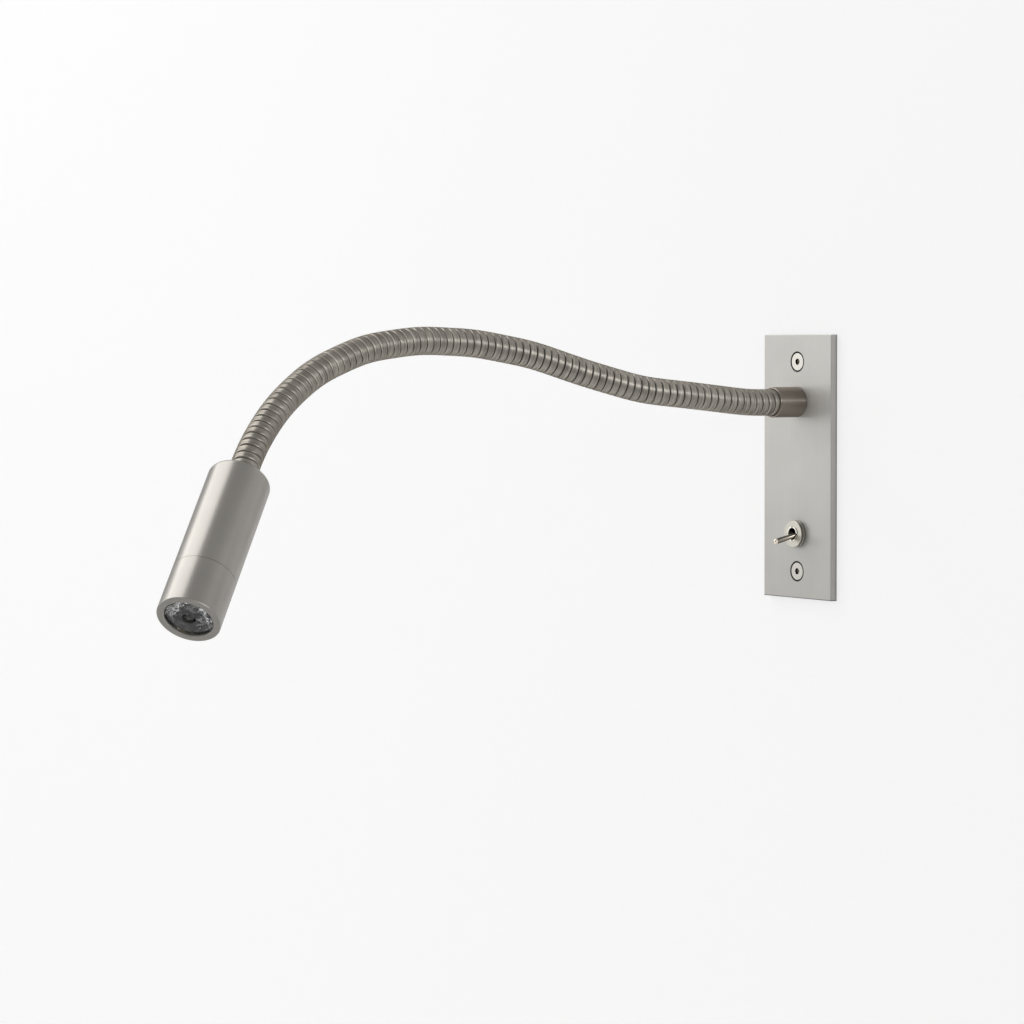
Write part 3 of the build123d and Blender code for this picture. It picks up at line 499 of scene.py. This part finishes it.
collar_turning = turned_about(COLLAR_AXIS, OUT_OF_WALL)
collar_nickel = brushed_nickel("collar_nickel", COLLAR_NICKEL, roughness=0.36, coordinates=collar_turning,
                               scale=TURNED_LINES, grain=0.06, depth=0.005, spread=OUT_OF_WALL,
                               spread_share=0.9, edge=0.35)
turned_brass = brushed_nickel("turned_brass", BRASS, roughness=0.30, coordinates=straight_grain,
                              scale=(3000, 3000, 3000), depth=0.006)
zinc_plate = brushed_nickel("zinc_plate", ZINC, roughness=0.38, coordinates=straight_grain,
                            scale=(1200, 1200, 1200), depth=0.006, warmth=0.08)
collar = turned_piece("collar_turning", held_corners(COLLAR_PROFILE, closed=True), COLLAR_COLUMNS,
                      COLLAR_AXIS, OUT_OF_WALL, LEVEL, closed=True)
collar.data.materials.append(collar_nickel)
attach(collar, "wall_unit")
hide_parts("neck_collar")
finish(turned_brass, "neck_nipple", "neck_stud")
finish(zinc_plate, "neck_washer", "neck_nut", "head_lock_washer", "head_lock_nut")


# --- Flexible neck ------------------------------------------------------------------------
# A hose wound from satin nickel strip: crowned bands 3.3 mm wide, with a dark groove where one
# laps the next. The hose bends anywhere; here each stretch of skin lies over two links at rest.

NECK_RADIUS = 0.0055
NECK_INNER_RADIUS = 0.0044
BANDS_PER_LINK = 4
SHOULDER_START = 0.80
SHOULDER_DROP = 0.00048
SHOULDER_POWER = 1.15
HEEL_SHARE = 0.10
HEEL_DROP = 0.00034
GROOVE_DEPTH = 0.00018
GROOVE_HALF_WIDTH = 0.00027
GROOVE_POWER = 4
# A thin line beside each lap: rubbed smoother, and a painted highlight on the sides and top along the
# bend.
WEAR_HIGHLIGHT_PHASE_START = 0.82
WEAR_HIGHLIGHT_PHASE_STOP = 0.94
WEAR_HIGHLIGHT_PHASE_BLUR = 0.04
# Painted highlight: how much the line brightens the colour; mirrored below one, it paints shade on the
# very top.
PAINTED_HIGHLIGHT_TONE = 2.5
SIDE_HIGHLIGHT_FROM = -0.30
SIDE_HIGHLIGHT_OVER = 0.35
# Share of the laps' painted shade kept on the sides and top along the bend.
LAP_SHADE_KEPT = 0.50
HANDLED_HIGHLIGHT_START = 0.13
HANDLED_HIGHLIGHT_STOP = 0.27
HANDLED_HIGHLIGHT_RAMP = 0.05
TOP_FROM = 0.78
TOP_OVER = 0.22
TOP_SHADE = 0.36
POLISH_ROUGHNESS_SHARE = 0.65
STRIP_SPREAD_SHARE = 0.55
NECK_EDGE_TINT = (0.35, 0.33, 0.30, 1.0)
BAND_WIDTH = 0.0033
ROWS_PER_BAND = 36
COLUMNS = 72
BORE_ROWS = 12
NECK_NICKEL = (0.365, 0.34, 0.30)
STRIP_LINES = (0.35, 0.35, 1.5)
STRIP_HARSHNESS = 0.7
STRIP_SHADE_SPAN = (0.34, 0.66)
STRIP_SHADE = (0.70, 1.30)
STRIP_CLOUD_SCALE = 0.35
STRIP_CLOUD = (0.94, 1.06)
# Painted shade in the laps.
LAP_SHADE_TONE = 0.10
STRIP_ROUGHNESS = (0.34, 0.44)
STRIP_BUMP = 0.000012

joint_table = {joint["name"]: joint for joint in frame["joints"]}
bends = [joint_table[name] for name in sorted(joint_table) if name.startswith("neck_bend_")]
pivots = np.array([bend["pos_m"] for bend in bends])
link_length = float(np.linalg.norm(pivots[1] - pivots[0]))
collar_front = pivots[0] - link_length * np.array(OUT_OF_WALL, float)
last_axis = Vector(bends[-1]["axis"])
last_bend = -math.radians(sum(bends[-1]["range_deg"]) / 2)
head_axis = Matrix.Rotation(last_bend, 3, last_axis) @ Vector(pivots[-1] - pivots[-2]).normalized()
neck_end = pivots[-1] + link_length * np.array(head_axis)
neck_points = np.vstack([collar_front, pivots, neck_end])
bend_count = len(bends)


def spline_through(points, where):
    """Uniform cubic B-spline: each place blends four control points with the cubic weights.

    The ends are mirrored, so that the line starts and stops on its end points, running straight.
    """
    padded = np.vstack([2 * points[0] - points[1], points, 2 * points[-1] - points[-2]])
    where = np.clip(np.asarray(where, float), 0, len(points) - 1)
    first = np.minimum(where.astype(int), len(points) - 2)
    part = (where - first)[:, None]
    weights = [(1 - part) ** 3, 3 * part ** 3 - 6 * part ** 2 + 4,
               -3 * part ** 3 + 3 * part ** 2 + 3 * part + 1, part ** 3]
    return sum(weight * padded[first + offset] for offset, weight in enumerate(weights)) / 6


def tube_frames(points, where):
    """Places along the neck's line, with the two directions square to it, level one first."""
    nudge = 1e-4
    centre = spline_through(points, where)
    along = spline_through(points, where + nudge) - spline_through(points, where - nudge)
    along /= np.linalg.norm(along, axis=1)[:, None]
    level = np.array(LEVEL, float) - along * along[:, :1]
    level /= np.linalg.norm(level, axis=1)[:, None]
    return centre, level, np.cross(along, level)


def circle_round(level, upward, angle):
    """The directions out from a line, one circle of them for each of its places."""
    cosine = np.cos(angle)[None, :, None]
    sine = np.sin(angle)[None, :, None]
    return level[:, None, :] * cosine + upward[:, None, :] * sine


def hose_stretch(name, start, stop):
    """One stretch of hose skin, from link place start to stop.

    Radius = the neck's, less a steep fall at each band's head side, less a slow square rise from
    its other edge, less a narrow groove at the lap. The lap climbs one band for each turn, and the
    bore's wall closes the stretch. hose_lap_shade is painted shade in the groove, halved on the sides and
    top along the bend. hose_wear_highlight is a thin line beside the lap, along the bend and on the sides
    and top alone, rubbed smoother and painted as a highlight; on the very top of the hose it goes
    below zero, into painted shade.
    """
    rows = int(round((stop - start) * BANDS_PER_LINK * ROWS_PER_BAND)) + 1
    where = np.linspace(start, stop, rows)
    angle = np.linspace(0, 2 * math.pi, COLUMNS, endpoint=False)
    phase = (where[:, None] * BANDS_PER_LINK - angle[None, :] / (2 * math.pi)) % 1.0
    from_lap = np.minimum(phase, 1 - phase) * BAND_WIDTH
    groove = np.exp(-(from_lap / GROOVE_HALF_WIDTH) ** GROOVE_POWER)
    fall = np.clip((phase - SHOULDER_START) / (1 - SHOULDER_START), 0, 1)
    shoulder = SHOULDER_DROP * fall ** SHOULDER_POWER
    heel = HEEL_DROP * np.clip(1 - phase / HEEL_SHARE, 0, 1) ** 2
    radius = NECK_RADIUS - shoulder - heel - GROOVE_DEPTH * groove
    rise = np.clip((phase - WEAR_HIGHLIGHT_PHASE_START) / WEAR_HIGHLIGHT_PHASE_BLUR, 0, 1)
    highlight_and_wear = np.clip((np.sin(angle) - SIDE_HIGHLIGHT_FROM) / SIDE_HIGHLIGHT_OVER, 0, 1)
    top = np.clip((np.sin(angle) - TOP_FROM) / TOP_OVER, 0, 1)
    along_hose = where[:, None] * link_length
    handled_highlight = np.clip(np.minimum(along_hose - HANDLED_HIGHLIGHT_START, HANDLED_HIGHLIGHT_STOP - along_hose) / HANDLED_HIGHLIGHT_RAMP, 0, 1)
    # A painted highlight line beside the lap, where the strip is also rubbed smoother; below zero on the
    # very top, as painted shade.
    wear_highlight = handled_highlight * highlight_and_wear * rise * np.clip((WEAR_HIGHLIGHT_PHASE_STOP - phase) / WEAR_HIGHLIGHT_PHASE_BLUR, 0, 1)
    wear_highlight = wear_highlight * (1 - top) - TOP_SHADE * rise * top
    # Painted shade in the groove, halved on the sides and top along the bend.
    lap_shade = groove * (1 - (1 - LAP_SHADE_KEPT) * highlight_and_wear * handled_highlight)
    bare_bore = np.zeros((BORE_ROWS, COLUMNS))
    radius = np.vstack([radius, bare_bore + NECK_INNER_RADIUS])
    lap_shade = np.vstack([lap_shade, bare_bore])
    wear_highlight = np.vstack([wear_highlight, bare_bore])
    where = np.concatenate([where, np.linspace(stop, start, BORE_ROWS)])
    centre, level, upward = tube_frames(neck_points, where)
    points = centre[:, None, :] + circle_round(level, upward, angle) * radius[:, :, None]
    place = np.stack(np.broadcast_arrays(np.cos(angle)[None, :], np.sin(angle)[None, :],
                                         where[:, None] * link_length / MILLIMETRE), axis=-1)
    layers = {"hose_place": place, "hose_lap_shade": lap_shade, "hose_wear_highlight": wear_highlight}
    return grid_object(name, points, layers, closed_rows=True, mapped=True)


def neck_nickel():
    """Satin strip: fine lines round the hose, painted shade in the laps, and a line rubbed smooth beside
    them with a painted highlight.

    Lines and cloud lie on hose_place: the turn's cosine and sine, and millimetres along the hose.
    """
    material, tree, output = empty_material("neck_nickel")
    place = add(tree, "ShaderNodeAttribute", attribute_name="hose_place").outputs["Vector"]
    lap = add(tree, "ShaderNodeAttribute", attribute_name="hose_lap_shade").outputs["Fac"]
    wear_highlight = add(tree, "ShaderNodeAttribute", attribute_name="hose_wear_highlight").outputs["Fac"]
    across = add(tree, "ShaderNodeVectorMath", {0: place, 1: STRIP_LINES}, operation="MULTIPLY").outputs[0]
    fine = noise(tree, across, 1.0, FINE_DETAIL, Roughness=STRIP_HARSHNESS)
    cloud = noise(tree, place, STRIP_CLOUD_SCALE, CLOUD_DETAIL)
    shade = remap(tree, fine, *STRIP_SHADE_SPAN, *STRIP_SHADE)
    tone = remap(tree, cloud, *CLOUD_SPAN, *STRIP_CLOUD)
    # Painted shade in the laps.
    lap_shade_factor = remap(tree, lap, 0.0, 1.0, 1.0, LAP_SHADE_TONE)
    # Painted highlight on the line beside the lap, and painted shade on the very top.
    highlight_and_wear = remap(tree, wear_highlight, -1.0, 1.0, 2 - PAINTED_HIGHLIGHT_TONE, PAINTED_HIGHLIGHT_TONE)
    factor = calculate(tree, "MULTIPLY", shade, tone, lap_shade_factor, highlight_and_wear)
    smoothed = remap(tree, wear_highlight, 0.0, 1.0, 1.0, POLISH_ROUGHNESS_SHARE)
    rough = calculate(tree, "MULTIPLY", remap(tree, fine, *ROUGH_SPAN, *STRIP_ROUGHNESS), smoothed)
    brushed = remap(tree, wear_highlight, 0.0, 1.0, STRIP_SPREAD_SHARE, 0.0)
    bump = add(tree, "ShaderNodeBump", {"Height": fine, "Strength": BUMP_SHARE, "Distance": STRIP_BUMP})
    along = add(tree, "ShaderNodeTangent", direction_type="UV_MAP", uv_map="map")
    metal = add(tree, "ShaderNodeBsdfPrincipled", {
        "Base Color": shaded(tree, NECK_NICKEL, factor), "Metallic": 1.0, "Roughness": rough,
        "Normal": bump.outputs[0], "Anisotropic": brushed, "Tangent": along.outputs[0],
        "Specular Tint": NECK_EDGE_TINT})
    tree.links.new(metal.outputs[0], output.inputs["Surface"])
    return material


def stretch_ends(number):
    """The link places where a bend's stretch starts and stops; the outer two reach the neck's ends."""
    return (0 if number == 1 else number - 0.5), (number + 1 if number == bend_count else number + 0.5)


def ride_bend(piece):
    """Bake a piece's placing into its mesh, at rest; nothing ties it to a bend."""
    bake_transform(piece)


strip_nickel = neck_nickel()
for number in range(1, bend_count + 1):
    stretch = hose_stretch(f"neck_hose_{number:02d}", *stretch_ends(number))
    stretch.data.materials.append(strip_nickel)
    ride_bend(stretch)
    links = [number, number + 1] if number == bend_count else [number]
    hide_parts(*[f"neck_link_{link:02d}" for link in links])


# --- Cable in the neck --------------------------------------------------------------------
# A pale grey two-core cable, 3.6 mm across, runs from behind the plate through the nipple and
# the whole neck into the head. It bends with the neck; here it is in stretches at rest, its end pieces on
# the wall unit and the head.

CABLE_RADIUS = 0.0018
CABLE_START = np.array([0, 0.0120, 0.027])
CABLE_END_IN_HEAD = 0.0150
CABLE_GREY = (0.42, 0.42, 0.41)
CABLE_END_ROWS = 8
CABLE_BEND_ROWS = 17
MOTTLE_SCALE = 900.0
MOTTLE_DETAIL = 3.0
MOTTLE = (0.92, 1.08)
MOULDED_SWING = 0.08
MOULDED_BUMP_SHARE = 0.3
MOULDED_BUMP = 0.00002


def soft_plastic(name, colour, roughness):
    """Extruded or moulded plastic: one colour, faintly mottled, with a fine dull skin."""
    material, tree, output = empty_material(name)
    fine = noise(tree, straight_grain(tree), MOTTLE_SCALE, MOTTLE_DETAIL)
    shade = remap(tree, fine, 0.0, 1.0, *MOTTLE)
    rough = remap(tree, fine, 0.0, 1.0, roughness - MOULDED_SWING, roughness + MOULDED_SWING)
    bump = add(tree, "ShaderNodeBump", {"Height": fine, "Strength": MOULDED_BUMP_SHARE,
                                        "Distance": MOULDED_BUMP})
    body = add(tree, "ShaderNodeBsdfPrincipled", {
        "Base Color": shaded(tree, colour, shade), "Roughness": rough, "Normal": bump.outputs[0]})
    tree.links.new(body.outputs[0], output.inputs["Surface"])
    return material


def tube_along(name, centre, level, upward, radius, columns=24):
    """A round tube: each row is a circle square to the line at its place; flat ends."""
    angle = np.linspace(0, 2 * math.pi, columns, endpoint=False)
    return grid_object(name, centre[:, None, :] + circle_round(level, upward, angle) * radius)


def straight_cable(start, stop, along, level):
    """Places from start to stop with the same two directions all the way."""
    level = np.tile(np.array(level, float), (CABLE_END_ROWS, 1))
    along = np.tile(np.array(along, float), (CABLE_END_ROWS, 1))
    return np.linspace(start, stop, CABLE_END_ROWS), level, np.cross(along, level)


cable_grey = soft_plastic("cable_grey", CABLE_GREY, roughness=0.5)
cable_stop = neck_end + CABLE_END_IN_HEAD * np.array(head_axis)
cable_lines = [straight_cable(CABLE_START, collar_front, OUT_OF_WALL, LEVEL)]
for number in range(1, bend_count + 1):
    cable_lines.append(tube_frames(neck_points, np.linspace(*stretch_ends(number), CABLE_BEND_ROWS)))
cable_lines.append(straight_cable(neck_end, cable_stop, head_axis, last_axis))
for number, cable_line in enumerate(cable_lines):
    stretch = tube_along(f"neck_cable_{number:02d}", *cable_line, CABLE_RADIUS)
    stretch.data.materials.append(cable_grey)
    if number == 0:
        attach(stretch, "wall_unit")
        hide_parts("neck_cable")
    elif number == bend_count + 1:
        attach(stretch, "lamp_head")
    else:
        ride_bend(stretch)


# --- Toggle switch ------------------------------------------------------------------------
# A miniature panel toggle: a round dress nut and its washer clamp the bushing to the plate; a
# ring, a nut, a steel frame, a black case and two lugs are behind it.

SWITCH_AXIS = (0, 0, -0.028)
NUT_NICKEL = (0.62, 0.595, 0.53)
NUT_RIM_BAND = 0.00004
NUT_RIM_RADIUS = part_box("switch_dress_nut")[1].x - NUT_RIM_BAND
# Painted shade on the rims of nut and washer.
NUT_RIM_SHADE_TONE = 0.38
BRIGHT_NICKEL = (0.90, 0.87, 0.80)
MOUTH_RADIUS = 0.00245
# Painted shade in the bushing's mouth and slots.
MOUTH_SHADE_TONE = 0.18
LEVER_NICKEL = (0.50, 0.455, 0.39)
LEVER_SLOPE = math.tan(math.radians(-12.5))
LEVER_PIVOT_OUT = -0.0016
LEVER_LIT_HALF = 0.00055
LEVER_BLUR = 0.0002
LEVER_TIP_OUT = 0.0127
# Painted highlight on the lever's tip.
LEVER_TIP_HIGHLIGHT_TONE = 1.7
BUSHING_FACE = 0.00580
LEVER_BALL_RADIUS = 0.00185
LEVER_ROOT_RADIUS = 0.00098
LEVER_TIP_RADIUS = 0.00118
LEVER_REACH = 0.01435
LEVER_TAIL = [(0.0, -0.0026), (0.00075, -0.0026), (0.00075, -0.0066), (0.0011, -0.0066)]
LEVER_COLUMNS = 64
LEVER_BALL_ROWS = 24
LEVER_TIP_ROWS = 16
# Painted shade toward the lever's upper and lower sides.
LEVER_LIMB_SHADE_TONE = 0.30
SILVERED = (0.75, 0.71, 0.66)
BLACK = (0.012, 0.012, 0.012)
NYLON = (0.70, 0.69, 0.64)
WIRE_RED = (0.35, 0.012, 0.01)
WIRE_RADIUS = 0.0007
WIRE_ORDER = 3
WIRE_RESOLUTION = 12
POLISHED_LINES = (2500, 2500, 2500)

switch_turning = turned_about(SWITCH_AXIS, OUT_OF_WALL)


def rim_tone(tree):
    """Full tone on the faces of nut and washer; painted shade on their turned rims."""
    radius = add(tree, "ShaderNodeSeparateXYZ", {0: switch_turning(tree)}).outputs[0]
    # Painted shade on the rim.
    return step(tree, radius, NUT_RIM_RADIUS, 1.0, NUT_RIM_SHADE_TONE)


def mouth_tone(tree):
    """Painted shade inside the bushing's mouth and again down in the slots; bright on its front ring."""
    place = add(tree, "ShaderNodeSeparateXYZ", {0: switch_turning(tree)})
    # Painted shade in the mouth and down in the slots.
    ring = step(tree, place.outputs[0], MOUTH_RADIUS, MOUTH_SHADE_TONE, 1.0)
    return calculate(tree, "MULTIPLY", ring, step(tree, place.outputs[2], BUSHING_FACE, MOUTH_SHADE_TONE, 1.0))


def lever_tone(tree):
    """Painted reflection: bright along the lever's middle, painted shade toward its upper and lower sides,
    and a painted highlight on its tip.
    """
    place = add(tree, "ShaderNodeSeparateXYZ", {0: straight_grain(tree)})
    out = calculate(tree, "SUBTRACT", LEVER_PIVOT_OUT, place.outputs[1])
    middle = calculate(tree, "MULTIPLY", out, LEVER_SLOPE)
    off = calculate(tree, "SUBTRACT", place.outputs[2], SWITCH_AXIS[2], middle)
    # Painted shade on the lever's upper and lower sides.
    limb = step(tree, unsigned(tree, off), LEVER_LIT_HALF, 1.0, LEVER_LIMB_SHADE_TONE, blur=LEVER_BLUR)
    # Painted highlight on the tip.
    tip = step(tree, out, LEVER_TIP_OUT, 0.0, 1.0, blur=LEVER_BLUR)
    return calculate(tree, "MAXIMUM", limb, calculate(tree, "MULTIPLY", tip, LEVER_TIP_HIGHLIGHT_TONE))


nut_nickel = brushed_nickel("nut_nickel", NUT_NICKEL, roughness=0.36, coordinates=switch_turning,
                            scale=FACED_LINES, grain=0.18, depth=0.02, tone=rim_tone)
bright_nickel = brushed_nickel("bright_nickel", BRIGHT_NICKEL, roughness=0.20, coordinates=straight_grain,
                               scale=POLISHED_LINES, grain=0.03, depth=0.002, tone=mouth_tone)
lever_nickel = brushed_nickel("lever_nickel", LEVER_NICKEL, roughness=0.14, coordinates=straight_grain,
                              scale=POLISHED_LINES, grain=0.05, depth=0.003, tone=lever_tone)
silvered = brushed_nickel("silvered_copper", SILVERED, roughness=0.25, coordinates=straight_grain,
                          scale=(1500, 1500, 1500), depth=0.004)
black_plastic = soft_plastic("black_moulding", BLACK, roughness=0.45)
nylon = soft_plastic("natural_nylon", NYLON, roughness=0.45)
finish(nut_nickel, "switch_dress_nut", "switch_face_washer")
finish(bright_nickel, "switch_bushing")

lever_axis = (0, -math.cos(math.atan(LEVER_SLOPE)), math.sin(math.atan(LEVER_SLOPE)))
tail_turn = math.asin(LEVER_TAIL[-1][0] / LEVER_BALL_RADIUS)
root_turn = math.pi - math.asin(LEVER_ROOT_RADIUS / LEVER_BALL_RADIUS)
ball = [(LEVER_BALL_RADIUS * math.sin(turn), -LEVER_BALL_RADIUS * math.cos(turn))
        for turn in np.linspace(tail_turn, root_turn, LEVER_BALL_ROWS)]
tip = [(LEVER_TIP_RADIUS * math.cos(turn), LEVER_REACH - LEVER_TIP_RADIUS * (1 - math.sin(turn)))
       for turn in np.linspace(0, math.pi / 2, LEVER_TIP_ROWS)]
lever = turned_piece("lever_turning", held_corners(LEVER_TAIL + ball[:1]) + ball[1:] + tip, LEVER_COLUMNS,
                     (0, LEVER_PIVOT_OUT, SWITCH_AXIS[2]), lever_axis, LEVEL)
lever.data.materials.append(lever_nickel)
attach(lever, "toggle")
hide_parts("switch_lever")
finish(zinc_plate, "switch_lock_ring", "switch_back_nut", "switch_frame", "switch_spring")
finish(silvered, "switch_terminals", "switch_rocker")
finish(black_plastic, "switch_case", "lens_holder")
finish(nylon, "switch_plunger")


def wire_line(points):
    """Points along the smooth third-order line that a bent wire takes through a route."""
    data = bpy.data.curves.new("wire_route", "CURVE")
    data.dimensions = "3D"
    line = data.splines.new("NURBS")
    line.points.add(len(points) - 1)
    line.points.foreach_set("co", [value for point in points for value in (*point, 1.0)])
    line.order_u = WIRE_ORDER
    line.use_endpoint_u = True
    line.resolution_u = WIRE_RESOLUTION
    holder = bpy.data.objects.new("wire_route", data)
    bpy.context.scene.collection.objects.link(holder)
    bpy.context.view_layer.update()
    mesh = bpy.data.meshes.new_from_object(holder)
    places = np.empty(len(mesh.vertices) * 3)
    mesh.vertices.foreach_get("co", places)
    bpy.data.objects.remove(holder)
    bpy.data.meshes.remove(mesh)
    return places.reshape(-1, 3)


def wire(name, points, radius, steady, columns=16):
    """Insulated wire along a route; steady is a direction that the route never runs along."""
    centre = wire_line(points)
    along = np.gradient(centre, axis=0)
    along /= np.linalg.norm(along, axis=1)[:, None]
    steady = np.asarray(steady, float)
    level = steady - along * (along @ steady)[:, None]
    level /= np.linalg.norm(level, axis=1)[:, None]
    return tube_along(name, centre, level, np.cross(along, level), radius, columns)


JUMPER_ROUTE = [
    (0, 0.01205, 0.027),
    (0, 0.02422, 0.027),
    (0.001, 0.02755, 0.013),
    (-0.001, 0.02655, -0.014),
    (0, 0.02455, -0.028),
    (0, 0.01755, -0.028),
]
wire_red = soft_plastic("red_insulation", WIRE_RED, roughness=0.4)
jumper = wire("switch_jumper_wire", JUMPER_ROUTE, WIRE_RADIUS, LEVEL)
jumper.data.materials.append(wire_red)
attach(jumper, "wall_unit")
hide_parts("switch_jumper")


# --- Head ---------------------------------------------------------------------------------
# Two turned aluminium tubes, satin nickel plated: a closed shell on the neck's stud and a front
# barrel that screws into it, with a fine gap between them and a lip round the window.

HEAD_NICKEL = (0.43, 0.41, 0.38)
HEAD_FACE = 0.06745
# Painted shade on the flat ring round the window.
HEAD_FACE_SHADE_TONE = 0.64

head_turning = turned_about(tuple(neck_end), tuple(head_axis), tuple(last_axis))


def head_tone(tree):
    """Full tone along the tubes; painted shade on the flat ring round the window."""
    place = add(tree, "ShaderNodeSeparateXYZ", {0: head_turning(tree)})
    # Painted shade on the flat front ring.
    return step(tree, place.outputs[2], HEAD_FACE, 1.0, HEAD_FACE_SHADE_TONE)


head_nickel = brushed_nickel("head_nickel", HEAD_NICKEL, roughness=0.35, coordinates=head_turning,
                             scale=TURNED_LINES, grain=0.03, depth=0.0005, spread=tuple(head_axis),
                             spread_share=0.5, edge=0.85, tone=head_tone)
finish(head_nickel, "head_shell", "front_barrel")


# --- Light engine -------------------------------------------------------------------------
# Inside the barrel: a turned aluminium plug, a white board with one emitter screwed to it, and
# two red leads that run to the board from the cable's end, through the plug.

ALUMINIUM = (0.62, 0.62, 0.63)
BOARD_PAINT = (0.75, 0.75, 0.73)
PHOSPHOR = (0.72, 0.50, 0.06)
LEAD_RADIUS = 0.0006
LEAD_ROUTE = [(0.0008, 0.01505), (0.0008, 0.0227), (0.0072, 0.03226), (0.0072, 0.0522)]

plain_aluminium = brushed_nickel("plain_aluminium", ALUMINIUM, roughness=0.33, coordinates=head_turning,
                                 scale=TURNED_LINES)
board_paint = soft_plastic("board_paint", BOARD_PAINT, roughness=0.35)
phosphor = soft_plastic("phosphor", PHOSPHOR, roughness=0.2)
finish(plain_aluminium, "heat_sink")
finish(board_paint, "led_board")
finish(zinc_plate, "board_screws")
finish(phosphor, "led_emitter")

for side, label in ((-1, "left"), (1, "right")):
    places = [neck_end + side * across * np.array(last_axis) + out * np.array(head_axis)
              for across, out in LEAD_ROUTE]
    lead = wire(f"led_lead_{label}", places, LEAD_RADIUS, np.cross(head_axis, last_axis))
    lead.data.materials.append(wire_red)
    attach(lead, "lamp_head")
    if side < 0:
        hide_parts("led_leads")


# --- Lens ---------------------------------------------------------------------------------
# A clear moulded optic: slight dome with a round recess in it, flat flange, a cone that gathers
# the emitter's light and a pocket over the emitter. It sits in a black holder, on a rubber ring.

LENS_PROFILE = [(0.0, 0.05684), (0.0022, 0.05684), (0.0022, 0.05324), (0.0032, 0.05324), (0.0087, 0.06424),
                (0.01015, 0.06424), (0.01015, 0.06544), (0.0089, 0.06544), (0.0089, 0.06655)]
LENS_FRONT = 0.0670
LENS_COLUMNS = 160
DOME_ROWS = 24
RECESS_RADIUS = 0.0025
RECESS_EDGE_DROP = 0.00004
RECESS_FLOOR_RADIUS = 0.0019
RECESS_FLOOR = 0.0659
RECESS_CROWN = 0.0006
RECESS_ROWS = 12
ACRYLIC_TINT = (0.97, 0.98, 0.98, 1.0)
ACRYLIC_ROUGHNESS = 0.02
ACRYLIC_IOR = 1.49
RIPPLE_SCALE = 330.0
RIPPLE_DETAIL = 1.5
RIPPLE_SHARE = 0.9
RIPPLE_DEPTH = 0.0005


def clear_acrylic():
    """Water-clear moulded plastic with ripples on its skin, which break up what shows through it."""
    material, tree, output = empty_material("clear_acrylic")
    ripple = noise(tree, straight_grain(tree), RIPPLE_SCALE, RIPPLE_DETAIL)
    bump = add(tree, "ShaderNodeBump", {"Height": ripple, "Strength": RIPPLE_SHARE,
                                        "Distance": RIPPLE_DEPTH})
    glass = add(tree, "ShaderNodeBsdfPrincipled", {
        "Base Color": ACRYLIC_TINT, "Roughness": ACRYLIC_ROUGHNESS, "IOR": ACRYLIC_IOR,
        "Transmission Weight": 1.0, "Normal": bump.outputs[0]})
    tree.links.new(glass.outputs[0], output.inputs["Surface"])
    return material


rim_radius, rim_place = LENS_PROFILE[-1]
dome_share = np.linspace(1, 0, DOME_ROWS)
dome_drop = LENS_FRONT - rim_place
dome = [(rim_radius * share, LENS_FRONT - dome_drop * share ** 2) for share in dome_share[1:]]
outside = [point for point in dome if point[0] > RECESS_RADIUS]
floor = [(RECESS_FLOOR_RADIUS * share, RECESS_FLOOR + RECESS_CROWN * (1 - share ** 2))
         for share in np.linspace(1, 0, RECESS_ROWS)]
recess = held_corners([(RECESS_RADIUS, LENS_FRONT - RECESS_EDGE_DROP), floor[0]])
optic = turned_piece("lens_optic", held_corners(LENS_PROFILE) + outside + recess + floor[1:], LENS_COLUMNS,
                     neck_end, head_axis, last_axis)
optic.data.materials.append(clear_acrylic())
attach(optic, "lamp_head")
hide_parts("lens")
finish(soft_plastic("black_rubber", BLACK, roughness=0.6), "lens_gasket")
